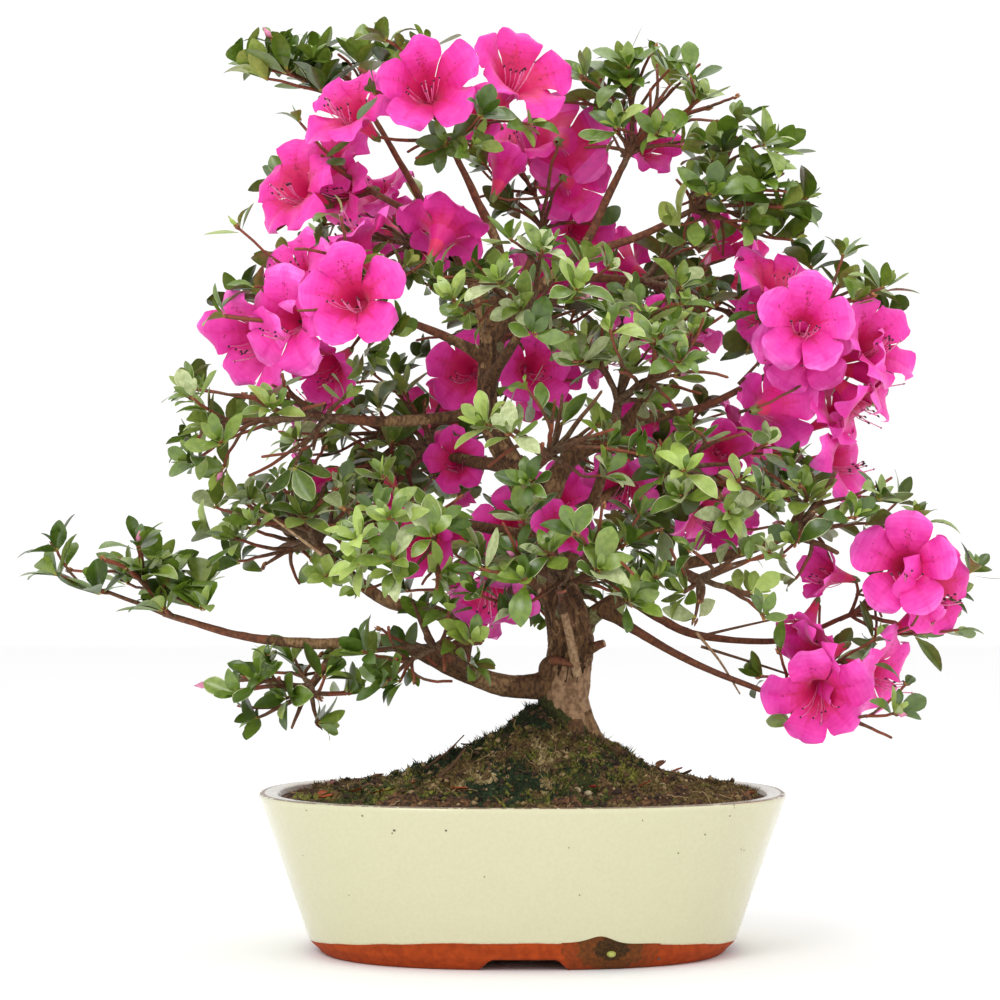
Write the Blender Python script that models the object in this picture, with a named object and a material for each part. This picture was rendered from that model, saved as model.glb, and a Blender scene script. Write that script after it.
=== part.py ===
"""Flowering azalea bonsai in an oval glazed pot, as an assembly of closed solids.

X runs to the right, Y away from the viewer and Z up, and the pot stands on Z = 0 with the
origin in the middle of the whole plant's footprint. The sizes that are listed here are real
millimetres, and MM turns them into metres. A trunk, its boughs and the masses of foliage are
separate solids with a hair's gap between them. Each mass is grown by a seeded rule from the
tip of its bough: twigs reach for evenly spread shoot ends, which carry whorls of leaves and
funnel blooms, and whatever would leave the mass's own space or touch a limb is skipped.
"""
import math
import random
from collections import namedtuple

import bmesh
import bpy
from mathutils import Vector

MM = 0.001

# Pot: an oval of superellipse plan, flared from its feet to a flat lip
POT_CENTRE = Vector((12.5, 0.0, 0.0))
POT_OVAL_POWER = 2.4
POT_DEPTH_RATIO = 0.77
POT_SIDES = 32
POT_HEIGHT = 87.5
RIM_HALF_WIDTH = 146.0
LIP_WIDTH = 10.6
LIP_ROUND = 1.6
BASE_HALF_WIDTH = 118.5
BASE_LEVEL = 8.0
FOOT_HALF_WIDTH = 111.0
FOOT_ROUND = 3.0
FLOOR_LEVEL = 16.0
FLOOR_HALF_WIDTH = 107.0
RECESS_HALF_WIDTH = 94.0
FOOT_HEIGHT = 6.0
NOTCH_WIDTH_LOW = 50.0
NOTCH_WIDTH_HIGH = 32.0
NOTCH_REACH = 40.0
NOTCH_INTO_RECESS = 4.0
CUT_BELOW = 1.0

# The hair's gap between neighbouring solids; a cutter's flat sides lie inside its round, so it takes more
GAP = 0.3
CUT_GAP = 0.39

# Soil mound: from the pot's wall up to the flat that the trunk stands on
SOIL_EDGE_LEVEL = 83.0
MOUND_LEVEL = 114.0
MOUND_CENTRE = Vector((33.0, 0.0, 0.0))
MOUND_FLAT = (43.0, 34.0)
MOUND_RINGS = 4
MOUND_SWEEP = 1.5

# Trunk: taper, a swelling where the low bough leaves, and lobed roots
TRUNK_SIDES = 12
TRUNK_STEPS = 2
FORK_SWELL = 3.0
FORK_LEVEL = 148.0
FORK_SPREAD = 12.0
FLARE_FALL = 14.0
FLARE_ALL_ROUND = 6.5
FLARE_LOBES = 5
FLARE_LOBE_DEPTH = 4.5
FLARE_LEFT_ROOT = 14.0

# Boughs and twigs
BOUGH_SIDES = 5
BOUGH_STEPS = 2
TWIG_SIDES = 3
TWIG_TIP = 1.1
TWIG_SHORTEST = 6.0
ROOT_SINK = 0.4
STEM_LENGTH = 9.0
STEM_TAPER = 0.9
STEM_SINK = 2.0
FORK_SHARE = 0.8

# The growing rule
SHELL_BIAS = 0.42
LEAF_ROOM = 13.0
CANDIDATES = 14
TRIES_A_SHOOT = 4
OUTWARD = 0.8
PATH_WEIGHT = 0.45
TURN_WEIGHT = 14.0
FORK_PLACES = (0.5, 0.78, 1.0)
FORKS_TRIED = 8
SWING = 0.38
AIM_PULL = 0.45
SPACE_MARGIN = 0.6
TWIG_MARGIN = 2.0
LIMB_MARGIN = 0.9
BAR_REACH = 2.2
SHOOT_CLEAR_OF_BLOOM = 24.0
BLOOM_ROOM = 0.8
BLOOM_PROUD = 8.0

# Leaves, larger than life because each stands for several
LEAF_LENGTH = 37.0
LEAF_WIDTH = 16.5
LEAF_WIDEST = 0.58
LEAF_SIZES = (1.0, 0.86, 0.72, 0.6)
LEAVES_APART = 2.5
LEAF_FREE_FROM = 0.3
WHORL = 5
WHORL_OPEN = 62.0
LEAVES_LEAST = 2
WHORL_RISE = 0.45
TURN_SPREAD = 0.2
OPEN_SPREAD = 12.0
HUB_RADIUS = 2.6
HUB_TOP = 1.6
HUB_FOOT = 3.4

# Blooms: a funnel that opens into five round lobes
BLOOM_RADIUS = 29.0
BLOOM_LOBES = 5
BLOOM_NOTCH = 0.6
BLOOM_SHOULDER = 0.94
BLOOM_TUBE = 27.0
BLOOM_THROAT = 11.0
BLOOM_FLARE = 3.0
BLOOM_SIZES = (1.0, 0.92, 0.84, 0.76, 0.68, 0.6)
CALYX_RADIUS = 3.2
CALYX_FOOT = 4.0
CALYX_TOP = 2.0
PETAL_HALF = 1.0

Limb = namedtuple("Limb", "parent points root tip")
Mass = namedtuple("Mass", "bough centre reach seed shoots wild blooms")

# Trunk and boughs in millimetres: what each grows from, its bends, and its radius at both ends
LIMBS = {
    "trunk": Limb(None, ((40, 0, 114), (39, 0, 146), (35, 0, 176), (29, 0, 208), (22, 2, 244),
        (8, 4, 275), (-5, 5, 300), (-7, 5, 324), (-6, 4, 352)), 13.6, 5.0),
    "low_left_bough": Limb("trunk", ((38, 0, 147), (5, -8, 146), (-24, -15, 156), (-60, -21, 171),
        (-100, -25, 170), (-140, -28, 174), (-176, -30, 184)), 8.2, 2.6),
    "under_left_bough": Limb("low_left_bough", ((-84, -24, 170), (-94, -22, 161), (-100, -20, 153)),
        2.9, 2.2),
    "front_low_left_bough": Limb("low_left_bough", ((-12, -12, 152), (-24, -32, 160), (-32, -46, 166)),
        3.4, 2.4),
    "left_arch_bough": Limb("low_left_bough", ((-24, -15, 157), (-20, -2, 175), (-36, 4, 187),
        (-63, 8, 193), (-86, 10, 209), (-98, 10, 220)), 4.8, 3.0),
    "front_left_bough": Limb("trunk", ((25, 1, 228), (2, -16, 232), (-20, -40, 236), (-30, -52, 237)),
        3.6, 2.4),
    "left_mid_bough": Limb("trunk", ((-5, 5, 301), (-36, -6, 295), (-66, -16, 293), (-88, -24, 294)),
        3.4, 2.5),
    "left_upper_bough": Limb("trunk", ((-7, 4, 330), (-31, -10, 341), (-56, -22, 350)), 3.6, 2.6),
    "top_left_bough": Limb("trunk", ((-6, 4, 344), (-19, 3, 379), (-43, 1, 406), (-66, 0, 420)),
        4.0, 2.5),
    "top_tip_bough": Limb("top_left_bough", ((-32, 2, 394), (-50, 16, 430), (-76, 26, 476)), 2.9, 2.1),
    "top_bough": Limb("trunk", ((-6, 4, 348), (0, 1, 386), (-14, -6, 420), (-26, -12, 444)), 4.2, 2.6),
    "top_right_bough": Limb("trunk", ((-6, 4, 342), (23, 8, 371), (46, 12, 392), (62, 12, 424),
        (70, 11, 440)), 4.2, 2.5),
    "upper_right_bough": Limb("top_right_bough", ((43, 12, 389), (76, 8, 398), (102, 4, 410)),
        3.0, 2.2),
    "centre_upper_bough": Limb("trunk", ((-6, 4, 346), (12, 22, 376), (22, 32, 400)), 3.4, 2.4),
    "front_upper_bough": Limb("trunk", ((-7, 5, 316), (4, -26, 330), (12, -46, 342)), 3.4, 2.4),
    "right_upright_bough": Limb("trunk", ((32, 0, 198), (47, -8, 236), (58, -16, 268), (64, -24, 296)),
        3.8, 2.4),
    "front_mid_bough": Limb("trunk", ((14, 3, 262), (20, -26, 268), (26, -50, 272)), 3.4, 2.4),
    "front_low_bough": Limb("trunk", ((34, 0, 184), (35, -26, 192), (34, -46, 200)), 3.6, 2.4),
    "right_main_bough": Limb("trunk", ((22, 2, 246), (41, 8, 275), (64, 11, 287), (80, 12, 304),
        (90, 12, 330)), 6.4, 2.8),
    "right_flower_bough": Limb("right_main_bough", ((73, 12, 295), (112, 14, 302), (146, 10, 318)),
        3.6, 2.5),
    "right_front_bough": Limb("right_main_bough", ((52, 10, 282), (76, -10, 276), (92, -28, 270)),
        3.4, 2.3),
    "right_low_bough": Limb("trunk", ((36, 0, 166), (52, 2, 185), (70, -2, 197), (92, -7, 211),
        (132, -11, 220), (152, -12, 227)), 5.4, 2.5),
    "right_thin_bough": Limb("right_low_bough", ((70, -2, 197), (92, 10, 182), (116, 14, 173),
        (160, 14, 171), (194, 10, 184)), 3.4, 2.2),
    "right_hanging_bough": Limb("right_low_bough", ((57, 0, 189), (82, -12, 173), (112, -16, 157),
        (150, -18, 142)), 3.6, 2.3),
    "front_right_bough": Limb("right_low_bough", ((94, -7, 212), (102, -28, 209), (106, -42, 207)),
        3.0, 2.2),
    "back_left_bough": Limb("trunk", ((11, 4, 269), (-12, 34, 272), (-34, 56, 278)), 4.6, 2.7),
    "back_right_bough": Limb("trunk", ((25, 1, 232), (52, 36, 248), (78, 60, 262)), 4.8, 2.7),
    "back_top_bough": Limb("trunk", ((-7, 5, 322), (-2, 34, 336), (2, 52, 344)), 3.8, 2.5),
    "back_low_bough": Limb("trunk", ((34, 0, 186), (26, 34, 196), (18, 54, 204)), 4.0, 2.5),
    "back_upper_left_bough": Limb("top_left_bough", ((-26, 2, 388), (-36, 22, 392), (-44, 34, 396)),
        3.0, 2.2),
    "back_upper_right_bough": Limb("top_right_bough", ((30, 9, 378), (56, 30, 378), (76, 44, 378)),
        3.0, 2.2),
}

# Masses whose stem is fused to them all the way from the trunk
FUSED_STEMS = ("front_upper_bough", "front_mid_bough", "front_low_bough", "back_low_bough")

# Foliage masses in millimetres: bough, middle and half-sizes of the space, seed, leafy shoots, blooms placed
# by the rule, and the showing blooms, each a throat position with the bearing and rise it faces in degrees;
# bearing 0 faces the viewer and 90 faces right
MASSES = {
    "far_left_foliage": Mass("low_left_bough", (-207, -30, 202), (61, 46, 37), "far left", 6, 0, ()),
    "under_left_foliage": Mass("under_left_bough", (-120, -24, 146), (46, 38, 26), "under left", 4, 0,
        ()),
    "front_low_left_foliage": Mass("front_low_left_bough", (-42, -68, 170), (48, 38, 29),
        "front low left", 4, 0, ()),
    "arch_foliage": Mass("left_arch_bough", (-118, 8, 240), (56, 54, 46), "arch", 5, 1, ()),
    "front_left_foliage": Mass("front_left_bough", (-52, -92, 228), (48, 50, 38), "front left", 5, 0,
        ((-46, -86, 227, -10, 0),)),
    "mid_left_foliage": Mass("left_mid_bough", (-130, -34, 292), (60, 56, 40), "mid left", 7, 0, ()),
    "left_flower_foliage": Mass("left_upper_bough", (-106, -40, 362), (66, 64, 48),
        "left flowers", 3, 0, ((-78, -80, 355, 0, 0), (-80, -24, 392, -90, 40),
        (-122, -44, 350, -75, 5), (-118, -8, 376, -80, 40), (-134, -10, 346, -60, -30))),
    "upper_left_foliage": Mass("top_left_bough", (-108, 0, 430), (50, 48, 36), "upper left", 2, 0,
        ((-117, -14, 426, -55, 10), (-94, 4, 442, -20, 40))),
    "top_tip_foliage": Mass("top_tip_bough", (-106, 22, 494), (56, 40, 25), "top tip", 5, 0, ()),
    "top_flower_foliage": Mass("top_bough", (-42, -28, 473), (80, 52, 43), "top flowers", 2, 0,
        ((-38, -60, 476, 5, 5), (-84, -40, 462, -60, 35), (8, -20, 488, 30, 50))),
    "top_right_foliage": Mass("top_right_bough", (84, 10, 468), (60, 48, 42), "top right", 6, 0,
        ((88, 14, 452, 20, 10),)),
    "upper_right_foliage": Mass("upper_right_bough", (132, 2, 424), (47, 46, 46), "upper right", 6, 0,
        ()),
    "centre_upper_foliage": Mass("centre_upper_bough", (30, 42, 432), (56, 48, 48),
        "centre upper", 2, 0, ((37, 42, 450, 160, 20), (0, 30, 436, -60, 20), (54, 38, 414, 20, 10))),
    "front_upper_foliage": Mass("front_upper_bough", (14, -78, 360), (52, 52, 34),
        "front upper", 5, 0, ()),
    "right_centre_foliage": Mass("right_upright_bough", (80, -60, 326), (50, 54, 38),
        "right centre", 5, 0, ()),
    "front_mid_foliage": Mass("front_mid_bough", (30, -96, 281), (52, 54, 32), "front mid", 5, 0, ()),
    "front_low_foliage": Mass("front_low_bough", (30, -88, 215), (64, 56, 40), "front low", 5, 0,
        ((8, -88, 202, 0, -40), (40, -74, 232, 10, 10))),
    "right_upper_foliage": Mass("right_main_bough", (98, 8, 354), (46, 46, 36), "right upper", 2, 0,
        ((86, 0, 354, -10, 10), (120, 8, 354, 45, 30))),
    "right_flower_foliage": Mass("right_flower_bough", (181, 0, 338), (56, 60, 56),
        "right flowers", 2, 0, ((168, -40, 339, 10, 5), (160, 0, 372, 0, 60), (206, 0, 337, 75, 15),
        (202, 0, 308, 60, -30), (168, -12, 306, 150, 0))),
    "right_front_foliage": Mass("right_front_bough", (112, -62, 262), (44, 50, 32),
        "right front", 5, 0, ((92, -62, 258, 0, 10),)),
    "right_low_foliage": Mass("right_low_bough", (180, -10, 242), (52, 50, 46), "right low", 4, 0,
        ((196, 0, 264, 70, -10), (180, -14, 220, 10, 0))),
    "far_right_foliage": Mass("right_thin_bough", (228, -4, 197), (44, 52, 48), "far right", 3, 0,
        ((227, -34, 205, -10, 22), (246, 0, 194, 40, 0))),
    "hanging_foliage": Mass("right_hanging_bough", (190, -14, 150), (52, 50, 42), "hanging", 3, 0,
        ((178, -34, 138, 0, -45), (208, -10, 140, 40, -10), (170, -8, 170, -20, 20))),
    "front_right_foliage": Mass("front_right_bough", (118, -72, 204), (42, 42, 30),
        "front right", 4, 0, ()),
    "back_left_foliage": Mass("back_left_bough", (-66, 90, 282), (72, 58, 52), "back left", 5, 2, ()),
    "back_right_foliage": Mass("back_right_bough", (112, 90, 272), (72, 57, 54), "back right", 5, 3,
        ()),
    "back_top_foliage": Mass("back_top_bough", (8, 94, 346), (66, 56, 44), "back top", 4, 0,
        ((-12, 72, 341, -20, 10), (24, 68, 330, 20, 10))),
    "back_low_foliage": Mass("back_low_bough", (12, 92, 212), (76, 57, 42), "back low", 5, 2, ()),
    "back_upper_left_foliage": Mass("back_upper_left_bough", (-58, 60, 404), (56, 52, 38),
        "back upper left", 3, 1, ((-40, 44, 402, -30, 20),)),
    "back_upper_right_foliage": Mass("back_upper_right_bough", (112, 84, 376), (58, 50, 40),
        "back upper right", 4, 2, ()),
}

COLOURS = {
    "glaze": ((0.76, 0.76, 0.55), 0.25),
    "soil": ((0.07, 0.08, 0.03), 0.95),
    "bark": ((0.16, 0.10, 0.07), 0.85),
    "foliage": ((0.13, 0.26, 0.07), 0.6),
}


def clear_scene():
    for obj in list(bpy.data.objects):
        bpy.data.objects.remove(obj, do_unlink=True)


def new_collection(name):
    collection = bpy.data.collections.new(name)
    bpy.context.scene.collection.children.link(collection)
    return collection


def new_material(name, colour, roughness):
    material = bpy.data.materials.new(name)
    material.use_nodes = True
    shader = material.node_tree.nodes["Principled BSDF"]
    shader.inputs["Base Color"].default_value = (*colour, 1.0)
    shader.inputs["Roughness"].default_value = roughness
    return material


def new_object(name, points, faces, collection):
    """A mesh object from points in millimetres, with its faces turned outwards."""
    mesh = bpy.data.meshes.new(name)
    mesh.from_pydata([Vector(p) * MM for p in points], [], faces)
    cage = bmesh.new()
    cage.from_mesh(mesh)
    bmesh.ops.recalc_face_normals(cage, faces=cage.faces)
    cage.to_mesh(mesh)
    cage.free()
    obj = bpy.data.objects.new(name, mesh)
    collection.objects.link(obj)
    return obj


def loft(rings, closed=False):
    """Points and faces through rings of equal count, capped at both ends unless it closes on itself."""
    count = len(rings[0])
    points = [p for ring in rings for p in ring]
    faces = []
    spans = len(rings) if closed else len(rings) - 1
    for row in range(spans):
        low = row * count
        high = ((row + 1) % len(rings)) * count
        for i in range(count):
            j = (i + 1) % count
            faces.append((low + i, low + j, high + j, high + i))
    if not closed:
        faces.append(tuple(range(count))[::-1])
        faces.append(tuple(range(len(points) - count, len(points))))
    return points, faces


def oval(half_width, level, inset=0.0):
    """One ring of the pot's plan at a height, inset evenly where asked."""
    ring = []
    for i in range(POT_SIDES):
        turn = 2.0 * math.pi * i / POT_SIDES
        c, s = math.cos(turn), math.sin(turn)
        x = math.copysign(abs(c) ** (2.0 / POT_OVAL_POWER), c) * (half_width - inset)
        y = math.copysign(abs(s) ** (2.0 / POT_OVAL_POWER), s) * (half_width * POT_DEPTH_RATIO - inset)
        ring.append(POT_CENTRE + Vector((x, y, level)))
    return ring


def smooth_path(points, steps):
    """A Catmull-Rom curve through the given bends."""
    spine = [Vector(p) for p in points]
    padded = [spine[0] * 2.0 - spine[1]] + spine + [spine[-1] * 2.0 - spine[-2]]
    path = []
    for i in range(1, len(padded) - 2):
        a, b, c, d = padded[i - 1:i + 3]
        for step in range(steps):
            t = step / steps
            path.append(0.5 * ((2.0 * b) + (c - a) * t + (2.0 * a - 5.0 * b + 4.0 * c - d) * t ** 2
                               + (3.0 * b - a - 3.0 * c + d) * t ** 3))
    path.append(spine[-1])
    return path


def across(direction):
    """Two directions at right angles to the one given and to each other."""
    helper = Vector((0.0, 0.0, 1.0)) if abs(direction.z) < 0.9 else Vector((1.0, 0.0, 0.0))
    side = direction.cross(helper).normalized()
    return side, direction.cross(side).normalized()


def tube(path, radii, sides):
    """Points and faces of a round bar along a path, its frame carried along without twisting."""
    side = across((path[1] - path[0]).normalized())[0]
    rings = []
    for i, centre in enumerate(path):
        ahead = (path[min(i + 1, len(path) - 1)] - path[max(i - 1, 0)]).normalized()
        side = (side - ahead * side.dot(ahead)).normalized()
        up = ahead.cross(side)
        rings.append([centre + (side * math.cos(turn) + up * math.sin(turn)) * radii[i]
                      for turn in (2.0 * math.pi * k / sides for k in range(sides))])
    return loft(rings)


def taper(root, tip, count):
    return [root + (tip - root) * i / (count - 1) for i in range(count)]


def boolean(obj, operation, operand):
    """Join or cut an object by another object or by a whole collection, and keep the result."""
    modifier = obj.modifiers.new("join", "BOOLEAN")
    modifier.operation = operation
    modifier.solver = "EXACT"
    if isinstance(operand, bpy.types.Collection):
        modifier.operand_type = "COLLECTION"
        modifier.collection = operand
    else:
        modifier.object = operand
    bpy.context.view_layer.update()
    evaluated = obj.evaluated_get(bpy.context.evaluated_depsgraph_get())
    mesh = bpy.data.meshes.new_from_object(evaluated)
    obj.modifiers.clear()
    obj.data = mesh


def island_volume(faces):
    """Six times the signed volume that a set of triangles encloses."""
    total = 0.0
    for face in faces:
        a, b, c = (loop.vert.co for loop in face.loops)
        total += a.dot(b.cross(c))
    return total


def keep_main_body(obj):
    """Triangulate, and drop loose scraps and sealed hollows, so that one closed solid is left."""
    cage = bmesh.new()
    cage.from_mesh(obj.data)
    bmesh.ops.dissolve_degenerate(cage, dist=1e-7, edges=cage.edges)
    bmesh.ops.triangulate(cage, faces=cage.faces)
    unseen = set(cage.faces)
    islands = []
    while unseen:
        start = unseen.pop()
        island = [start]
        stack = [start]
        while stack:
            for edge in stack.pop().edges:
                for face in edge.link_faces:
                    if face in unseen:
                        unseen.discard(face)
                        island.append(face)
                        stack.append(face)
        islands.append(island)
    islands.sort(key=island_volume)
    for island in islands[:-1]:
        bmesh.ops.delete(cage, geom=island, context="FACES")
    cage.to_mesh(obj.data)
    cage.free()


def empty_collection(collection):
    for obj in list(collection.objects):
        bpy.data.objects.remove(obj, do_unlink=True)


def finish_object(obj, material, smooth=True):
    obj.data.materials.clear()
    obj.data.materials.append(material)
    if smooth:
        obj.data.shade_smooth()
        obj.data.set_sharp_from_angle(angle=math.radians(35.0))


def notch_bar(along_x, sign, cutters):
    """A cutter between two feet: a bar of trapezium section through one side of the foot ring."""
    run = RECESS_HALF_WIDTH if along_x else RECESS_HALF_WIDTH * POT_DEPTH_RATIO
    half_low, half_high = NOTCH_WIDTH_LOW / 2, NOTCH_WIDTH_HIGH / 2
    section = ((-half_low, -CUT_BELOW), (half_low, -CUT_BELOW), (half_low, 0.0), (half_high, FOOT_HEIGHT),
               (-half_high, FOOT_HEIGHT), (-half_low, 0.0))
    rings = []
    for distance in (run - NOTCH_INTO_RECESS, run + NOTCH_REACH):
        if along_x:
            rings.append([POT_CENTRE + Vector((sign * distance, w, z)) for w, z in section])
        else:
            rings.append([POT_CENTRE + Vector((w, sign * distance, z)) for w, z in section])
    return new_object("notch", *loft(rings), cutters)


def make_pot(parts, cutters, material):
    """The oval pot: one closed shell with a raised underside and four feet."""
    rim_level = POT_HEIGHT - LIP_ROUND
    inner = RIM_HALF_WIDTH - LIP_WIDTH
    rings = [
        oval(FOOT_HALF_WIDTH, 0.0),
        oval(FOOT_HALF_WIDTH + FOOT_ROUND, FOOT_ROUND),
        oval(BASE_HALF_WIDTH, BASE_LEVEL),
        oval(RIM_HALF_WIDTH, rim_level),
        oval(RIM_HALF_WIDTH - LIP_ROUND, POT_HEIGHT),
        oval(inner + LIP_ROUND, POT_HEIGHT),
        oval(inner, rim_level),
        oval(FLOOR_HALF_WIDTH, FLOOR_LEVEL),
    ]
    pot = new_object("pot", *loft(rings), parts)
    recess = [oval(RECESS_HALF_WIDTH, -CUT_BELOW), oval(RECESS_HALF_WIDTH, FOOT_HEIGHT)]
    boolean(pot, "DIFFERENCE", new_object("recess", *loft(recess), cutters))
    for along_x in (False, True):
        for sign in (-1, 1):
            boolean(pot, "DIFFERENCE", notch_bar(along_x, sign, cutters))
    keep_main_body(pot)
    empty_collection(cutters)
    finish_object(pot, material)


def make_soil(parts, material):
    """The soil and moss: it fills the pot and rises to the flat under the trunk."""
    rim_level = POT_HEIGHT - LIP_ROUND
    inner = RIM_HALF_WIDTH - LIP_WIDTH
    climb = (SOIL_EDGE_LEVEL - FLOOR_LEVEL) / (rim_level - FLOOR_LEVEL)
    edge = FLOOR_HALF_WIDTH + (inner - FLOOR_HALF_WIDTH) * climb
    clear = 2.0 * GAP
    wall = oval(edge, SOIL_EDGE_LEVEL, clear)
    rings = [oval(FLOOR_HALF_WIDTH, FLOOR_LEVEL + GAP, clear), wall]
    flat = []
    for i in range(POT_SIDES):
        turn = 2.0 * math.pi * i / POT_SIDES
        flat.append(MOUND_CENTRE + Vector((math.cos(turn) * MOUND_FLAT[0], math.sin(turn) * MOUND_FLAT[1],
                                           MOUND_LEVEL)))
    for step in range(1, MOUND_RINGS + 1):
        share = step / MOUND_RINGS
        level = SOIL_EDGE_LEVEL + (MOUND_LEVEL - SOIL_EDGE_LEVEL) * share ** MOUND_SWEEP
        ring = [a.lerp(b, share) for a, b in zip(wall, flat)]
        rings.append([Vector((p.x, p.y, level)) for p in ring])
    soil = new_object("soil_mound", *loft(rings), parts)
    keep_main_body(soil)
    finish_object(soil, material)


def trunk_radius(level, turn):
    """The trunk's radius at a height and bearing: taper, the fork's swelling and the lobed roots."""
    trunk = LIMBS["trunk"]
    low, high = trunk.points[0][2], trunk.points[-1][2]
    radius = trunk.root + (trunk.tip - trunk.root) * (level - low) / (high - low)
    radius += FORK_SWELL * math.exp(-((level - FORK_LEVEL) / FORK_SPREAD) ** 2)
    flare = FLARE_ALL_ROUND + FLARE_LOBE_DEPTH * math.cos(FLARE_LOBES * (turn - math.pi))
    flare += FLARE_LEFT_ROOT * max(0.0, -math.cos(turn)) ** 3
    return radius + flare * math.exp(-(level - low) / FLARE_FALL)


def trunk_shape(swell):
    """The trunk's rings, level at the foot and square to the line above it."""
    path = smooth_path(LIMBS["trunk"].points, TRUNK_STEPS)
    path[0] += Vector((0.0, 0.0, GAP))
    rings = []
    for i, centre in enumerate(path):
        ahead = (path[min(i + 1, len(path) - 1)] - path[max(i - 1, 0)]).normalized()
        if i == 0:
            ahead = Vector((0.0, 0.0, 1.0))
        side = (Vector((1.0, 0.0, 0.0)) - ahead * ahead.x).normalized()
        back = ahead.cross(side)
        ring = []
        for k in range(TRUNK_SIDES):
            turn = 2.0 * math.pi * k / TRUNK_SIDES
            radius = trunk_radius(centre.z, turn) + swell
            ring.append(centre + (side * math.cos(turn) + back * math.sin(turn)) * radius)
        rings.append(ring)
    return loft(rings)


def limb_path(name):
    steps = TRUNK_STEPS if name == "trunk" else BOUGH_STEPS
    return smooth_path(LIMBS[name].points, steps)


def limb_shape(name, swell):
    """A limb's points and faces, grown all round by a swelling for a cutter."""
    if name == "trunk":
        return trunk_shape(swell)
    path = limb_path(name)
    limb = LIMBS[name]
    radii = [radius + swell for radius in taper(limb.root, limb.tip, len(path))]
    return tube(path, radii, BOUGH_SIDES)


def make_limb(name, earlier, collection, cutters):
    """A limb, cut back a hair from the limbs made before it."""
    obj = new_object(name, *limb_shape(name, 0.0), collection)
    for other in earlier:
        new_object("swollen_" + other, *limb_shape(other, CUT_GAP), cutters)
    if earlier:
        boolean(obj, "DIFFERENCE", cutters)
        empty_collection(cutters)
    keep_main_body(obj)
    return obj


def segment_distance(a, b, c, d):
    """The shortest distance between segments ab and cd."""
    u, v, w = b - a, d - c, a - c
    uu, uv, vv = u.dot(u), u.dot(v), v.dot(v)
    uw, vw = u.dot(w), v.dot(w)
    spread = uu * vv - uv * uv
    s = 0.0 if spread < 1e-9 else min(max((uv * vw - vv * uw) / spread, 0.0), 1.0)
    t = (uv * s + vw) / vv if vv > 1e-9 else 0.0
    t = min(max(t, 0.0), 1.0)
    s = min(max((uv * t - uw) / uu, 0.0), 1.0) if uu > 1e-9 else 0.0
    return ((a + u * s) - (c + v * t)).length


def limb_bars():
    """Every limb as short straight bars with their thicker radius, for the clearance test."""
    bars = []
    for name, limb in LIMBS.items():
        path = limb_path(name)
        radii = taper(limb.root, limb.tip, len(path))
        for i in range(len(path) - 1):
            radius = radii[i]
            if name == "trunk":
                low = path[i].z
                radius = max(trunk_radius(low, 2.0 * math.pi * k / TRUNK_SIDES) for k in range(TRUNK_SIDES))
            bars.append((name, path[i], path[i + 1], radius))
    return bars


class Space:
    """The room a mass keeps to: its ellipsoid, walled off from every other mass and clear of the limbs."""

    def __init__(self, name, bars):
        mass = MASSES[name]
        self.centre = Vector(mass.centre)
        self.reach = Vector(mass.reach)
        self.walls = []
        for other_name, other in MASSES.items():
            if other_name == name:
                continue
            line = Vector(other.centre) - self.centre
            normal = line.normalized()
            own = self.support(self.reach, normal)
            theirs = self.support(Vector(other.reach), normal)
            if line.length < own + theirs + 2.0 * BLOOM_PROUD:
                self.walls.append((normal, self.centre.dot(normal) + line.length * own / (own + theirs)))
        self.bough = mass.bough
        nearby = max(self.reach) * BAR_REACH
        self.bars = [bar for bar in bars if not (mass.bough in FUSED_STEMS and bar[0] == mass.bough)
                     and min((bar[1] - self.centre).length, (bar[2] - self.centre).length) < nearby]

    @staticmethod
    def support(reach, normal):
        return math.sqrt(sum((r * n) ** 2 for r, n in zip(reach, normal)))

    def holds(self, point, margin=SPACE_MARGIN, proud=0.0):
        offset = point - self.centre
        if sum((o / (r - margin + proud)) ** 2 for o, r in zip(offset, self.reach)) > 1.0:
            return False
        return all(point.dot(normal) < limit - margin for normal, limit in self.walls)

    def clear(self, a, b, radius):
        for name, c, d, thick in self.bars:
            margin = 0.0 if name == self.bough else LIMB_MARGIN
            if segment_distance(a, b, c, d) < thick + radius + margin:
                return False
        return True


class Twig:
    """A bent twig from a fork to a shoot end."""

    def __init__(self, start, pull, end, root, tip, path_length):
        self.start, self.pull, self.end = start, pull, end
        self.root, self.tip = root, tip
        self.before = path_length
        self.length = (pull - start).length + (end - pull).length

    def at(self, t):
        return self.start * (1 - t) ** 2 + self.pull * 2 * t * (1 - t) + self.end * t ** 2

    def heading(self, t):
        return ((self.pull - self.start) * (1 - t) + (self.end - self.pull) * t).normalized()

    def radius(self, t):
        return self.root + (self.tip - self.root) * t

    def points(self, steps):
        return [self.at(i / steps) for i in range(steps + 1)]


def facing(bearing, rise):
    turn, lift = math.radians(bearing), math.radians(rise)
    return Vector((math.sin(turn) * math.cos(lift), -math.cos(turn) * math.cos(lift), math.sin(lift)))


def stem_of(mass):
    """The mass's stem, which goes on from its bough's tip in the bough's own line."""
    limb = LIMBS[mass.bough]
    path = limb_path(mass.bough)
    ahead = (path[-1] - path[-2]).normalized()
    start = path[-1] + ahead * GAP
    if mass.bough in FUSED_STEMS:
        start = path[-1] - ahead * STEM_SINK
    end = start + ahead * STEM_LENGTH
    return Twig(start, start.lerp(end, 0.5), end, limb.tip, limb.tip * STEM_TAPER, 0.0)


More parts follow.
